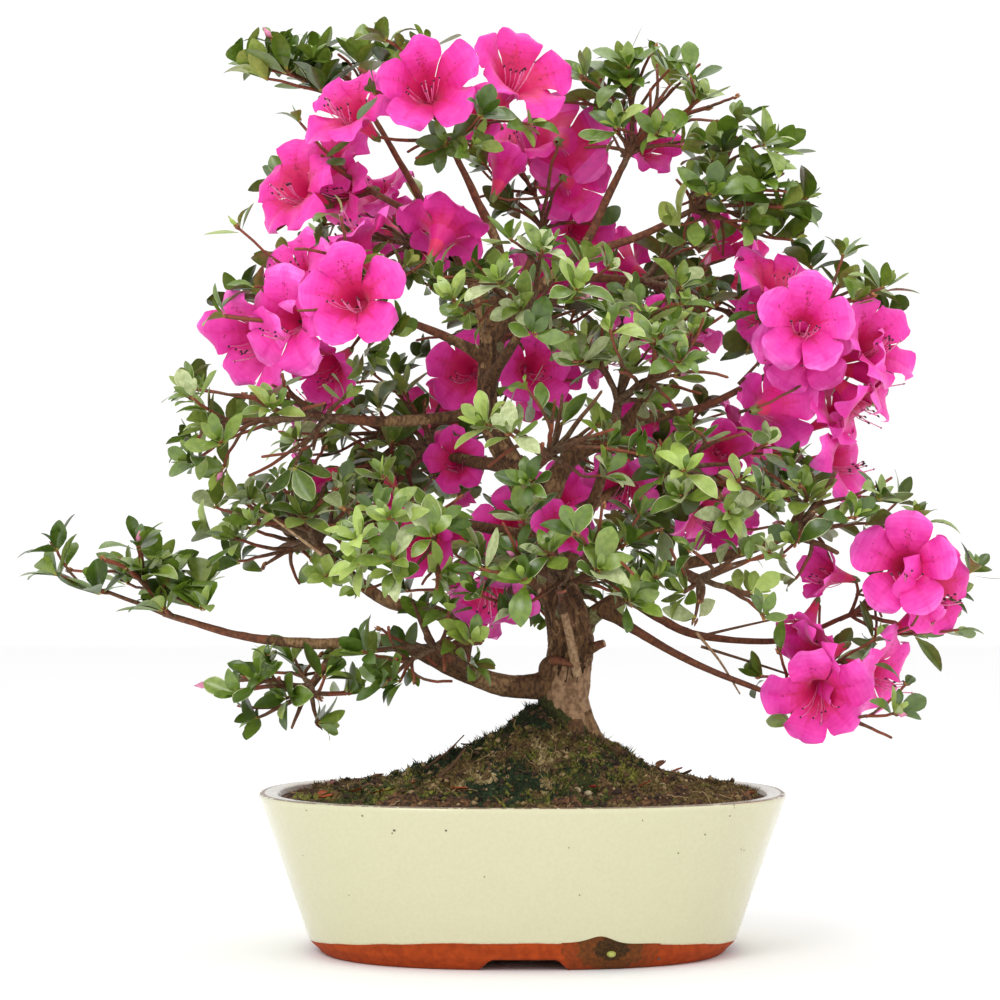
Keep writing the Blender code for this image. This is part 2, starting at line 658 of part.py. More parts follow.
def spare_point(rng, space, taken, blooms):
    """The best of a few random points of the space: the one that lies furthest from the shoots so far."""
    best, best_room = None, -1.0
    for _ in range(CANDIDATES):
        way = Vector((rng.gauss(0, 1), rng.gauss(0, 1), rng.gauss(0, 1))).normalized()
        far = rng.random() ** SHELL_BIAS
        point = space.centre + Vector(w * r for w, r in zip(way, space.reach)) * far
        if not space.holds(point, LEAF_ROOM):
            continue
        if any((point - bloom).length < SHOOT_CLEAR_OF_BLOOM for bloom in blooms):
            continue
        room = min(((point - other).length for other in taken), default=1.0)
        if room > best_room:
            best, best_room = point, room
    return best


def reach_for(target, twigs, space, aim=None):
    """A new twig to the target from the fork that makes the shortest, straightest way, or None."""
    choices = []
    for twig in twigs:
        for t in FORK_PLACES:
            place = twig.at(t)
            line = target - place
            if line.length < TWIG_SHORTEST:
                continue
            turn = twig.heading(t).angle(line)
            cost = line.length + PATH_WEIGHT * (twig.before + twig.length * t) + TURN_WEIGHT * turn ** 2
            choices.append((cost, len(choices), twig, t))
    choices.sort(key=lambda choice: choice[:2])
    for _, _, twig, t in choices[:FORKS_TRIED]:
        place = twig.at(t)
        line = target - place
        pull = place + (twig.heading(t) * SWING + line.normalized() * (1 - SWING)) * line.length * 0.5
        if aim:
            pull = pull.lerp(target - aim * line.length * AIM_PULL, 0.5)
        root = max(twig.radius(t) * FORK_SHARE, TWIG_TIP)
        new = Twig(place, pull, target, root, TWIG_TIP, twig.before + twig.length * t)
        spots = new.points(4)
        if not all(space.holds(spot, TWIG_MARGIN) for spot in spots[1:]):
            continue
        if all(space.clear(a, b, root) for a, b in zip(spots[:-1], spots[1:])):
            return new
    return None


def grow(name, space):
    """A mass's twigs: first those of the placed blooms, then shoots, where one with room may bear a bloom."""
    mass = MASSES[name]
    rng = random.Random(mass.seed)
    stem = stem_of(mass)
    twigs = [stem]
    blooms = []
    throats = [Vector(bloom[:3]) for bloom in mass.blooms]
    for bloom, throat in zip(mass.blooms, throats):
        way = facing(*bloom[3:])
        twig = reach_for(throat - way * BLOOM_TUBE, twigs, space, way)
        if twig:
            twigs.append(twig)
            blooms.append((twig, way))
    taken = [twig.end for twig in twigs]
    wild = mass.wild
    leafy = []
    for _ in range(mass.shoots * TRIES_A_SHOOT):
        if len(leafy) >= mass.shoots + wild:
            break
        target = spare_point(rng, space, taken, throats)
        twig = target and reach_for(target, twigs, space)
        if not twig:
            continue
        twigs.append(twig)
        taken.append(target)
        way = (twig.heading(1.0) + (target - space.centre).normalized() * OUTWARD).normalized()
        if wild and space.holds(target + way * BLOOM_TUBE * BLOOM_ROOM, TWIG_MARGIN):
            wild -= 1
            blooms.append((twig, way))
            throats.append(target + way * BLOOM_TUBE)
        else:
            leafy.append((twig, way))
    return twigs, leafy, blooms


def whorl_shape(base, axis, turns, leaves):
    """A small bud with a leaf or nothing in each sector: a kite, thick at the bud and sharp at its rim."""
    side, up = across(axis)
    points = [base - axis * HUB_FOOT, base + axis * HUB_TOP]
    notches = []
    for k, turn in enumerate(turns):
        before = turns[k - 1] - (2.0 * math.pi if k == 0 else 0.0)
        middle = (before + turn) / 2.0
        notches.append(len(points))
        points.append(base + (side * math.cos(middle) + up * math.sin(middle)) * HUB_RADIUS)
    faces = []
    for k, leaf in enumerate(leaves):
        notch, after = notches[k], notches[(k + 1) % len(notches)]
        faces.append((0, after, notch))
        if leaf is None:
            faces.append((1, notch, after))
            continue
        along, length, width = leaf
        edge = axis.cross(along).normalized() * width / 2
        left = len(points)
        tip, right = left + 1, left + 2
        widest = base + along * length * LEAF_WIDEST
        points += [widest - edge, base + along * length, widest + edge]
        faces += [(1, notch, left), (1, left, tip), (1, tip, right), (1, right, after),
                  (notch, after, tip), (notch, tip, left), (after, right, tip)]
    return points, faces


def bloom_shape(base, way, radius, roll):
    """A funnel on a narrow calyx, whose rim runs round five lobes and is shared by its front and back."""
    side, up = across(way)
    scale = radius / BLOOM_RADIUS
    points = [base - way * CALYX_FOOT, base + way * (BLOOM_TUBE - BLOOM_THROAT) * scale]
    half_notch = math.pi / BLOOM_LOBES

    def spoke(turn):
        return side * math.cos(turn) + up * math.sin(turn)

    for lobe in range(BLOOM_LOBES):
        middle = roll + lobe * 2.0 * half_notch
        points.append(base + way * CALYX_TOP + spoke(middle - half_notch) * CALYX_RADIUS)
        for part, share in ((-1.0, BLOOM_NOTCH), (-0.5, BLOOM_SHOULDER), (0.0, 1.0), (0.5, BLOOM_SHOULDER)):
            drop = BLOOM_FLARE * (share - BLOOM_NOTCH) / (1.0 - BLOOM_NOTCH)
            out = spoke(middle + part * half_notch) * BLOOM_RADIUS * share
            points.append(base + (way * (BLOOM_TUBE - drop) + out) * scale)
    faces = []
    for lobe in range(BLOOM_LOBES):
        neck = 2 + 5 * lobe
        notch, left, tip, right = range(neck + 1, neck + 5)
        next_neck = 2 + 5 * ((lobe + 1) % BLOOM_LOBES)
        next_notch = next_neck + 1
        faces += [(1, notch, left), (1, left, tip), (1, tip, right), (1, right, next_notch),
                  (neck, left, notch), (neck, tip, left), (neck, next_neck, tip), (next_neck, right, tip),
                  (next_neck, next_notch, right), (0, next_neck, neck)]
    return points, faces


def whorl_of_leaves(rng, twig, way, space, grown):
    """The leaves round a shoot end that stay in the space and off limbs and other leaves, as one solid."""
    axis = (way + Vector((0.0, 0.0, WHORL_RISE))).normalized()
    side, up = across(axis)
    base = twig.end
    start = rng.random() * 2.0 * math.pi
    turns = []
    leaves = []
    ribs = []
    for k in range(WHORL):
        turn = start + 2.0 * math.pi * k / WHORL + rng.uniform(-TURN_SPREAD, TURN_SPREAD)
        lean = math.radians(WHORL_OPEN + rng.uniform(-OPEN_SPREAD, OPEN_SPREAD))
        turns.append(turn)
        leaves.append(None)
        out = side * math.cos(turn) + up * math.sin(turn)
        along = (axis * math.cos(lean) + out * math.sin(lean)).normalized()
        for size in LEAF_SIZES:
            length = LEAF_LENGTH * size
            width = LEAF_WIDTH * size
            edge = axis.cross(along).normalized() * width / 2
            widest = base + along * length * LEAF_WIDEST
            tip = base + along * length
            if not all(space.holds(p) for p in (tip, widest - edge, widest + edge)):
                continue
            inner = base + along * length * LEAF_FREE_FROM
            if any(segment_distance(inner, tip, a, b) < LEAVES_APART + width / 4 for a, b in grown):
                continue
            if space.clear(inner, tip, width / 2):
                leaves[-1] = (along, length, width)
                ribs.append((inner, tip))
                break
    grown.extend(ribs)
    return whorl_shape(base, axis, turns, leaves) if len(ribs) >= LEAVES_LEAST else None


def make_mass(name, bars, parts, pieces, cutters, material):
    """One mass: stem, twigs, leaves and blooms joined into a single solid."""
    mass = MASSES[name]
    space = Space(name, bars)
    rng = random.Random(mass.seed + " leaves")
    twigs, leafy, blooms = grow(name, space)
    stem = twigs[0]
    if mass.bough in FUSED_STEMS:
        base = make_limb(mass.bough, [LIMBS[mass.bough].parent], parts, cutters)
        base.name = name
        new_object("stem", *tube(stem.points(1), [stem.root, stem.tip], BOUGH_SIDES), pieces)
    else:
        base = new_object(name, *tube(stem.points(1), [stem.root, stem.tip], BOUGH_SIDES), parts)
    for twig in twigs[1:]:
        start = twig.start - twig.heading(0.0) * ROOT_SINK
        path = [start, twig.at(0.5), twig.end]
        new_object("twig", *tube(path, [twig.root, (twig.root + TWIG_TIP) / 2, TWIG_TIP], TWIG_SIDES), pieces)
    grown = [pair for twig in twigs for pair in zip(twig.points(2)[:-1], twig.points(2)[1:])]
    for twig, way in blooms:
        for size in BLOOM_SIZES:
            points, faces = bloom_shape(twig.end, way, BLOOM_RADIUS * size, rng.random() * math.pi)
            if not all(space.holds(p, proud=BLOOM_PROUD) for p in points):
                continue
            edges = {(min(a, b), max(a, b)) for face in faces for a, b in zip(face, face[1:] + face[:1])}
            if all(space.clear(points[a], points[b], PETAL_HALF) for a, b in edges):
                new_object("bloom", points, faces, pieces)
                grown += [(points[1], tip) for tip in points[5::5]]
                break
    for twig, way in leafy:
        whorl = whorl_of_leaves(rng, twig, way, space, grown)
        if whorl:
            new_object("whorl", *whorl, pieces)
    boolean(base, "UNION", pieces)
    keep_main_body(base)
    empty_collection(pieces)
    finish_object(base, material, smooth=False)


def main():
    clear_scene()
    parts = new_collection("azalea_bonsai")
    cutters = new_collection("cutters")
    pieces = new_collection("pieces")
    make_pot(parts, cutters, new_material("glaze", *COLOURS["glaze"]))
    make_soil(parts, new_material("soil", *COLOURS["soil"]))
    made = []
    for name in LIMBS:
        if name in FUSED_STEMS:
            continue
        limb = make_limb(name, made, parts, cutters)
        finish_object(limb, new_material("bark_" + name, *COLOURS["bark"]))
        made.append(name)
    bars = limb_bars()
    for name in MASSES:
        make_mass(name, bars, parts, pieces, cutters, new_material("leaves_" + name, *COLOURS["foliage"]))


if __name__ == "__main__":
    main()
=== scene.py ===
"""Looks of the flowering azalea bonsai in an oval glazed pot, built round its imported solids.

The sizes listed here are real millimetres in the object's own frame, and MM turns them into
metres. Each mass of foliage is grown again by the rule that made its solid, from the same seed,
and then on to finer shoots with whorls of leaves of real size; the listed blooms are the ones
that show. Bark, moss, litter and glaze are meshes of their own.
"""
import math
import random
from collections import namedtuple

import bpy
import numpy as np
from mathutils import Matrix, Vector


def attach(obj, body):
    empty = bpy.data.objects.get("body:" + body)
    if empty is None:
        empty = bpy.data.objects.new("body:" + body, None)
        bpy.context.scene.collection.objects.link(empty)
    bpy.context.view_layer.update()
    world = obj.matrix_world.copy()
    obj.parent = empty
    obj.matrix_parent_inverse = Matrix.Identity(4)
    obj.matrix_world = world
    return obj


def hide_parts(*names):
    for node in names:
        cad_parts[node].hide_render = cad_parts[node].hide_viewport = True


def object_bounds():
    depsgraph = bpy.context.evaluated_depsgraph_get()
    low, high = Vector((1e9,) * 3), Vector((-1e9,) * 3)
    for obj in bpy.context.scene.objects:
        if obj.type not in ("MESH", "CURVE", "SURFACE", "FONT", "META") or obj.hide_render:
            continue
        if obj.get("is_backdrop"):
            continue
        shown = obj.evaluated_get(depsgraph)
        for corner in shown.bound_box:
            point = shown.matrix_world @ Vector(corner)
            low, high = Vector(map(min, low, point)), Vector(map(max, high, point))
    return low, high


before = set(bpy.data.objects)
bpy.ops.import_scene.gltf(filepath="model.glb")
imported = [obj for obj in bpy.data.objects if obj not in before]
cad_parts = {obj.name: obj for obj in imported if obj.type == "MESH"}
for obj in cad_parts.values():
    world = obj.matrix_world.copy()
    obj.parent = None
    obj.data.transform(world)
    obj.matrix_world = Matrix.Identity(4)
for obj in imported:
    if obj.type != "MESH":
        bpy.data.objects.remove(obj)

CAD_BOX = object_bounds()
MM = 0.001

Limb = namedtuple("Limb", "root tip points")
Mass = namedtuple("Mass", "bough centre reach shoots wild more group tone size density")
Look = namedtuple("Look", "name colour roughness second patch bump grain more",
                  defaults=(None, 2.0, 0.05, 1.0, {}))

# Camera, floor and soft light: each light's place, aim, size and power
CAMERA_PLACE = (0.0, -1.5, 0.2106)
CAMERA_AIM = (0.0, 0.0, 0.2498)
CAMERA_LENS = 96.4
SENSOR = 36.0
SURROUND = 1.05
FLOOR_COLOUR = (246, 246, 246)
FLOOR_REACH = 6000.0
LIGHTS = (
    ("key", (-0.9, -1.7, 1.5), (0.0, 0.0, 0.28), 0.9, 17.0),
    ("fill", (1.6, -1.2, 0.9), (0.0, 0.0, 0.26), 1.2, 5.0),
    ("top", (0.1, 0.4, 1.9), (0.0, 0.0, 0.3), 1.4, 9.0),
)

# Materials: how much darker the patches are where a look names no second colour, and what all share
DEEPER = 0.85
COAT_ROUGHNESS = 0.12
SHEEN_ROUGHNESS = 0.4
PATCH_DETAIL = 5.0
GRAIN_DETAIL = 4.0
RELIEF = 0.6

# Growing rule, as in the solids
TRUNK_STEPS = 2
FORK_SWELL = 3.0
FORK_LEVEL = 148.0
FORK_SPREAD = 12.0
FLARE_FALL = 14.0
FLARE_REACH = 20.5
BOUGH_STEPS = 2
TWIG_TIP = 1.1
TWIG_SHORTEST = 6.0
STEM_LENGTH = 9.0
STEM_TAPER = 0.9
STEM_SINK = 2.0
FORK_SHARE = 0.8
SHELL_BIAS = 0.42
LEAF_ROOM = 13.0
CANDIDATES = 14
TRIES_A_SHOOT = 4
OUTWARD = 0.8
PATH_WEIGHT = 0.45
TURN_WEIGHT = 14.0
FORK_PLACES = (0.5, 0.78, 1.0)
FORKS_TRIED = 8
SWING = 0.38
AIM_PULL = 0.45
CLEAR_STEPS = 4
SPACE_MARGIN = 0.6
TWIG_MARGIN = 2.0
LIMB_MARGIN = 0.9
BAR_REACH = 2.2
SHOOT_CLEAR_OF_BLOOM = 24.0
BLOOM_ROOM = 0.8
BLOOM_PROUD = 8.0
BLOOM_TUBE = 27.0

# Every limb: its radius at both ends, and its bends from the limb that bears it outwards
LIMBS = {
    "trunk": Limb(13.6, 5.0, ((40, 0, 114), (39, 0, 146), (35, 0, 176), (29, 0, 208), (22, 2, 244),
        (8, 4, 275), (-5, 5, 300), (-7, 5, 324), (-6, 4, 352))),
    "low_left": Limb(8.2, 2.6, ((38, 0, 147), (5, -8, 146), (-24, -15, 156), (-60, -21, 171),
        (-100, -25, 170), (-140, -28, 174), (-176, -30, 184))),
    "under_left": Limb(2.9, 2.2, ((-84, -24, 170), (-94, -22, 161), (-100, -20, 153))),
    "front_low_left": Limb(3.4, 2.4, ((-12, -12, 152), (-24, -32, 160), (-32, -46, 166))),
    "left_arch": Limb(4.8, 3.0, ((-24, -15, 157), (-20, -2, 175), (-36, 4, 187), (-63, 8, 193),
        (-86, 10, 209), (-98, 10, 220))),
    "front_left": Limb(3.6, 2.4, ((25, 1, 228), (2, -16, 232), (-20, -40, 236), (-30, -52, 237))),
    "left_mid": Limb(3.4, 2.5, ((-5, 5, 301), (-36, -6, 295), (-66, -16, 293), (-88, -24, 294))),
    "left_upper": Limb(3.6, 2.6, ((-7, 4, 330), (-31, -10, 341), (-56, -22, 350))),
    "top_left": Limb(4.0, 2.5, ((-6, 4, 344), (-19, 3, 379), (-43, 1, 406), (-66, 0, 420))),
    "top_tip": Limb(2.9, 2.1, ((-32, 2, 394), (-50, 16, 430), (-76, 26, 476))),
    "top": Limb(4.2, 2.6, ((-6, 4, 348), (0, 1, 386), (-14, -6, 420), (-26, -12, 444))),
    "top_right": Limb(4.2, 2.5, ((-6, 4, 342), (23, 8, 371), (46, 12, 392), (62, 12, 424), (70, 11, 440))),
    "upper_right": Limb(3.0, 2.2, ((43, 12, 389), (76, 8, 398), (102, 4, 410))),
    "centre_upper": Limb(3.4, 2.4, ((-6, 4, 346), (12, 22, 376), (22, 32, 400))),
    "front_upper": Limb(3.4, 2.4, ((-7, 5, 316), (4, -26, 330), (12, -46, 342))),
    "right_upright": Limb(3.8, 2.4, ((32, 0, 198), (47, -8, 236), (58, -16, 268), (64, -24, 296))),
    "front_mid": Limb(3.4, 2.4, ((14, 3, 262), (20, -26, 268), (26, -50, 272))),
    "front_low": Limb(3.6, 2.4, ((34, 0, 184), (35, -26, 192), (34, -46, 200))),
    "right_main": Limb(6.4, 2.8, ((22, 2, 246), (41, 8, 275), (64, 11, 287), (80, 12, 304), (90, 12, 330))),
    "right_flower": Limb(3.6, 2.5, ((73, 12, 295), (112, 14, 302), (146, 10, 318))),
    "right_front": Limb(3.4, 2.3, ((52, 10, 282), (76, -10, 276), (92, -28, 270))),
    "right_low": Limb(5.4, 2.5, ((36, 0, 166), (52, 2, 185), (70, -2, 197), (92, -7, 211), (132, -11, 220),
        (152, -12, 227))),
    "right_thin": Limb(3.4, 2.2, ((70, -2, 197), (92, 10, 182), (116, 14, 173), (160, 14, 171),
        (194, 10, 184))),
    "right_hanging": Limb(3.6, 2.3, ((57, 0, 189), (82, -12, 173), (112, -16, 157), (150, -18, 142))),
    "front_right": Limb(3.0, 2.2, ((94, -7, 212), (102, -28, 209), (106, -42, 207))),
    "back_left": Limb(4.6, 2.7, ((11, 4, 269), (-12, 34, 272), (-34, 56, 278))),
    "back_right": Limb(4.8, 2.7, ((25, 1, 232), (52, 36, 248), (78, 60, 262))),
    "back_top": Limb(3.8, 2.5, ((-7, 5, 322), (-2, 34, 336), (2, 52, 344))),
    "back_low": Limb(4.0, 2.5, ((34, 0, 186), (26, 34, 196), (18, 54, 204))),
    "back_upper_left": Limb(3.0, 2.2, ((-26, 2, 388), (-36, 22, 392), (-44, 34, 396))),
    "back_upper_right": Limb(3.0, 2.2, ((30, 9, 378), (56, 30, 378), (76, 44, 378))),
}

# How much slimmer than its solid a limb grows towards its tip
LIMB_THINNING = {
    "low_left": 0.38, "right_hanging": 0.42, "right_thin": 0.42, "top_left": 0.35, "top": 0.4,
    "top_right": 0.3, "centre_upper": 0.4, "upper_right": 0.3, "top_tip": 0.3, "right_flower": 0.35,
    "left_upper": 0.3,
}
THINNING_POWER = 0.7

# Limbs that are fused to the mass they bear, all the way from the trunk
FUSED_STEMS = ("front_upper", "front_mid", "front_low", "back_low")

# Foliage masses: bough, middle and half-sizes of the space, leafy shoots, blooms placed by the rule and
# more of them among the finer shoots, the group it is joined with, tone, size and density of its leaves
MASSES = {
    "far_left": Mass("low_left", (-207, -30, 202), (61, 46, 37), 6, 0, 0, "left", "dark", 1.1, 0.15),
    "under_left": Mass("under_left", (-120, -24, 146), (46, 38, 26), 4, 0, 0, "left", "mid", 1, 1.5),
    "front_low_left": Mass("front_low_left", (-42, -68, 170), (48, 38, 29), 4, 0, 0, "left", "dark", 1, 1.3),
    "arch": Mass("left_arch", (-118, 8, 240), (56, 54, 46), 6, 0, 0, "left", "mid", 0.95, 0.72),
    "front_left": Mass("front_left", (-52, -92, 228), (48, 50, 38), 5, 0, 0, "centre", "light", 0.9, 0.8),
    "mid_left": Mass("left_mid", (-130, -34, 292), (60, 56, 40), 7, 0, 0, "left", "light", 0.95, 0.68),
    "left_flower": Mass("left_upper", (-106, -40, 362), (66, 64, 48), 3, 0, 0, "left", "dark", 1, 0.45),
    "upper_left": Mass("top_left", (-108, 0, 430), (50, 48, 36), 2, 0, 0, "top", "dark", 1, 0.5),
    "top_tip": Mass("top_tip", (-106, 22, 494), (56, 40, 25), 5, 0, 0, "top", "dark", 1.1, 0.35),
    "top_flower": Mass("top", (-42, -28, 473), (80, 52, 43), 2, 0, 0, "top", "dark", 1, 0.45),
    "top_right": Mass("top_right", (84, 10, 468), (60, 48, 42), 6, 0, 0, "top", "dark", 1.15, 1.0),
    "upper_right": Mass("upper_right", (132, 2, 424), (47, 46, 46), 6, 0, 0, "top", "dark", 1.2, 1.0),
    "centre_upper": Mass("centre_upper", (30, 42, 432), (56, 48, 48), 2, 0, 1, "top", "dark", 0.95, 0.5),
    "front_upper": Mass("front_upper", (14, -78, 360), (52, 52, 34), 5, 0, 0, "centre", "light", 0.9, 0.65),
    "right_centre": Mass("right_upright", (80, -60, 326), (50, 54, 38), 5, 0, 0, "centre", "light",
        0.9, 0.75),
    "front_mid": Mass("front_mid", (30, -96, 281), (52, 54, 32), 5, 0, 0, "centre", "light", 0.9, 0.65),
    "front_low": Mass("front_low", (30, -88, 215), (64, 56, 40), 5, 0, 0, "centre", "mid", 1, 0.65),
    "right_upper": Mass("right_main", (98, 8, 354), (46, 46, 36), 2, 0, 0, "right", "mid", 0.95, 0.8),
    "right_flower": Mass("right_flower", (181, 0, 338), (56, 60, 56), 2, 0, 0, "right", "dark", 1, 0.6),
    "right_front": Mass("right_front", (112, -62, 262), (44, 50, 32), 5, 0, 0, "centre", "light", 0.9, 0.7),
    "right_low": Mass("right_low", (180, -10, 242), (52, 50, 46), 4, 0, 0, "right", "mid", 1, 0.75),
    "far_right": Mass("right_thin", (228, -4, 197), (44, 52, 48), 3, 0, 0, "right", "mid", 1, 0.65),
    "hanging": Mass("right_hanging", (190, -14, 150), (52, 50, 42), 3, 0, 0, "right", "mid", 1, 0.65),
    "front_right": Mass("front_right", (118, -72, 204), (42, 42, 30), 4, 0, 0, "centre", "light", 0.9, 0.65),
    "back_left": Mass("back_left", (-66, 90, 282), (72, 58, 52), 5, 2, 3, "back", "mid", 1, 1),
    "back_right": Mass("back_right", (112, 90, 272), (72, 57, 54), 5, 3, 3, "back", "mid", 1, 1),
    "back_top": Mass("back_top", (8, 94, 346), (66, 56, 44), 4, 0, 3, "back", "mid", 1, 1),
    "back_low": Mass("back_low", (12, 92, 212), (76, 57, 42), 5, 2, 2, "back", "mid", 1, 1),
    "back_upper_left": Mass("back_upper_left", (-58, 60, 404), (56, 52, 38), 3, 1, 3, "back", "dark", 1, 1),
    "back_upper_right": Mass("back_upper_right", (112, 84, 376), (58, 50, 40), 4, 2, 3, "back", "dark", 1, 1),
}

# Showing blooms: middle of the rim, bearing and rise it faces in degrees, size, openness, and pale or not;
# pale outer petals are partly a lighter tint and partly painted light shining through them
BLOOMS = {
    "front_left": ((-42, -56, 228, -25, -10, 0.85, 0.9, 0),),
    "left_flower": ((-79, -82, 356, -14, 8, 1.06, 1, 0), (-81, -30, 396, -60, 60, 0.98, 1, 0),
        (-30, -20, 401, 150, 50, 0.95, 1, 0), (-114, -46, 376, -45, 30, 0.95, 1, 0),
        (-118, -62, 344, -36, -6, 1.08, 1, 0), (-136, -38, 336, -42, -24, 1.05, 1, 0),
        (-96, -16, 322, -35, -30, 0.85, 0.85, 0)),
    "upper_left": ((-117, -18, 424, -42, 14, 1.1, 1, 0), (-98, 12, 443, -40, 20, 0.92, 1, 0),
        (-90, 0, 426, -60, 0, 0.8, 1, 0)),
    "top_flower": ((-40, -52, 474, -5, 16, 1.04, 1, 0), (-84, -36, 465, -36, 28, 1.03, 1, 0),
        (10, -30, 484, 30, 35, 1.08, 1, 0), (-11, -4, 466, -30, 10, 0.8, 0.8, 0)),
    "top_right": ((85, 25, 454, 40, 10, 0.75, 1, 0),),
    "centre_upper": ((37, 20, 455, 170, 10, 0.98, 1, 1), (43, 32, 429, 160, -10, 0.82, 1, 1),
        (3, 6, 438, 150, 55, 0.85, 0.45, 0), (46, 42, 405, 20, -20, 0.76, 1, 0)),
    "front_low": ((-4, -60, 194, 0, -60, 0.95, 1, 1), (34, -46, 234, 25, 25, 0.8, 0.8, 0)),
    "right_upper": ((88, 22, 350, -35, 20, 0.8, 0.8, 0),),
    "right_flower": ((167, -42, 346, 2, 8, 1, 1, 0), (168, -26, 332, -5, -15, 1, 1, 0),
        (155, -14, 373, 30, 45, 0.95, 1, 0), (208, -14, 337, 44, 20, 1.0, 1, 0),
        (212, -6, 321, 74, -5, 0.95, 1, 0), (203, -14, 302, 75, -40, 0.95, 1, 0),
        (191, 0, 299, 60, 25, 0.8, 1, 0), (195, 0, 272, 60, 0, 0.95, 1, 0),
        (153, -5, 303, 150, 10, 1.0, 0.9, 0), (143, 20, 359, -60, 20, 0.85, 1, 0)),
    "far_right": ((221, -38, 213, -12, 6, 1.08, 1, 0), (243, -22, 200, 48, -6, 1.02, 1, 0),
        (234, -14, 186, 60, 30, 0.8, 0.1, 0), (180, -10, 209, -60, 10, 0.8, 0.7, 0)),
    "hanging": ((174, -36, 140, -8, -28, 1.05, 1, 0), (172, -20, 160, -60, -20, 0.9, 1, 0),
        (215, -14, 152, 55, -15, 1, 1, 0), (169, -5, 176, -40, -50, 0.8, 0.8, 0)),
    "back_left": ((-26, 42, 273, -20, 0, 0.7, 1, 0),),
    "back_right": ((69, 42, 257, -20, -45, 0.9, 1, 1), (128, 44, 280, 10, 0, 0.65, 1, 0)),
    "back_top": ((-20, 52, 326, -20, -5, 0.9, 1, 0), (20, 52, 328, 20, 0, 0.9, 1, 0)),
    "back_low": ((35, 46, 251, 10, 10, 0.85, 1, 0), (6, 46, 234, -10, -10, 0.85, 1, 0)),
    "back_upper_left": ((-40, 44, 402, -30, 20, 0.8, 1, 0),),
}

# Shoots that show against the sky: place of the end, bearing and rise it points, and size of its leaves
SHOOTS = {
    "far_left": ((-243, -32, 208, -92, 16, 1.05), (-219, -36, 199, -70, 55, 1.4),
        (-196, -36, 206, -50, 50, 1.15), (-182, -28, 205, 10, 75, 1.3), (-184, -38, 190, -90, 40, 1.0),
        (-208, -8, 204, -120, 55, 1.1), (-166, -8, 200, 160, 60, 1.1), (-160, -50, 190, 10, 60, 1.1)),
    "top_tip": ((-133, 10, 489, -80, 28, 1.2), (-146, 14, 498, -90, 20, 1.1), (-101, 8, 483, -20, 70, 1.25),
        (-79, 12, 498, -30, 80, 1.1), (-121, 12, 494, -60, 65, 1.2), (-64, 20, 499, 20, 70, 1.0),
        (-112, 44, 492, -150, 45, 1.1)),
}

# Lowest level of a mass's shoots: its fall to the right and its height under the middle of the object
UNDERSIDES = {"far_left": (0.226, 151.0), "top_tip": (0.3, 452.0)}

# Finer growth: its tips, the room of a rosette, what it keeps clear of, and the size of its blooms
FINE_TIP = 0.68
ROSETTE_ROOM = 15000.0
FINE_ROOM = 3.0
FINE_CLEAR_OF_BLOOM = 20.0
SAME_PLACE = 0.01
WILD_SIZES = (0.82, 0.98)

# Twigs and buds, and where the petals part into two pieces
TWIG_RINGS = 6
TWIG_SIDES = 5
TWIG_SLIM = 1.2
OLD_TWIG = 1.6
TWIG_LONG = 14.0
TWIG_CROOK = 0.012
BAR_TIP = 0.15
BUD_SHARE = 0.3
PINK_BUDS = 0.08
PETALS_APART = 30.0
TWIGS = (
    Look("old", (132, 106, 80), 0.85, (92, 68, 48)),
    Look("brown", (116, 78, 50), 0.8, (84, 52, 34)),
    Look("young", (134, 66, 38), 0.7, (112, 56, 36), 2.5),
    Look("green", (128, 122, 58), 0.6),
    Look("pale", (182, 152, 116), 0.8, (140, 106, 74)),
)

# Bare twigs and short stubs that show in the gaps: root radius, tip radius, colour and bends
STICKS = (
    (0.9, 0.4, "brown", ((-46, -10, 96), (-38, -11, 103), (-29, -13, 110), (-20, -12, 119))),
    (3.0, 2.0, "pale", ((43, -14, 152), (39, -17, 172), (35, -17, 190), (34, -17, 208))),
    (1.2, 0.6, "brown", ((13, -3, 227), (-4, -6, 232), (-26, -8, 240))),
    (1.1, 0.6, "brown", ((-34, -2, 237), (-42, -4, 226), (-50, -5, 214))),
    (1.0, 0.5, "pale", ((-98, -30, 219), (-115, -34, 232), (-131, -34, 244))),
    (1.1, 0.6, "brown", ((134, 2, 299), (157, -2, 306), (178, -4, 312))),
    (1.1, 0.6, "brown", ((134, 4, 315), (146, 2, 328), (156, 0, 340))),
    (1.0, 0.6, "brown", ((112, -6, 168), (144, -8, 158), (174, -10, 148))),
    (1.0, 0.5, "pale", ((109, -10, 176), (122, -12, 160), (133, -12, 142))),
    (1.0, 0.6, "brown", ((113, -4, 174), (134, -6, 179), (156, -8, 184))),
    (1.0, 0.5, "brown", ((154, -14, 139), (172, -16, 143), (191, -18, 146))),
)

# Leaves: rosettes of three rings (how many, lean in degrees, length, way down the shoot, share of young)
ROSETTE_RINGS = (
    ((3, 5), (44.0, 78.0), (15.0, 25.0), 2.6, 0.0),
    ((3, 5), (22.0, 48.0), (12.0, 20.0), 1.3, 0.08),
    ((1, 3), (5.0, 24.0), (6.0, 11.0), 0.0, 0.5),
)
ROSETTE_RISE = 0.85
GOLDEN_TURN = 2.4
TURN_SPREAD = 0.25
LEAF_DROOPS = (-0.05, 0.1)
TWIG_LEAVES = (0, 2)
TWIG_LEAF_PLACES = (0.45, 0.95)
TWIG_LEAF_LENGTHS = (12.0, 20.0)
BARE_SHARE = 0.42
LEAF_PROUD = 9.0
LEAF_HALF = 3.0
LEAF_MIDDLE = 0.55
LEAF_STALK = 1.2
LEAF_CURLS = (-0.15, 0.5)
LEAF_FOLDS = (0.1, 0.55)
LEAF_WIDTHS = (0.4, 0.56)
LEAF_ROWS = np.array((0.0, 0.1, 0.25, 0.42, 0.6, 0.77, 0.89, 0.96, 1.0))
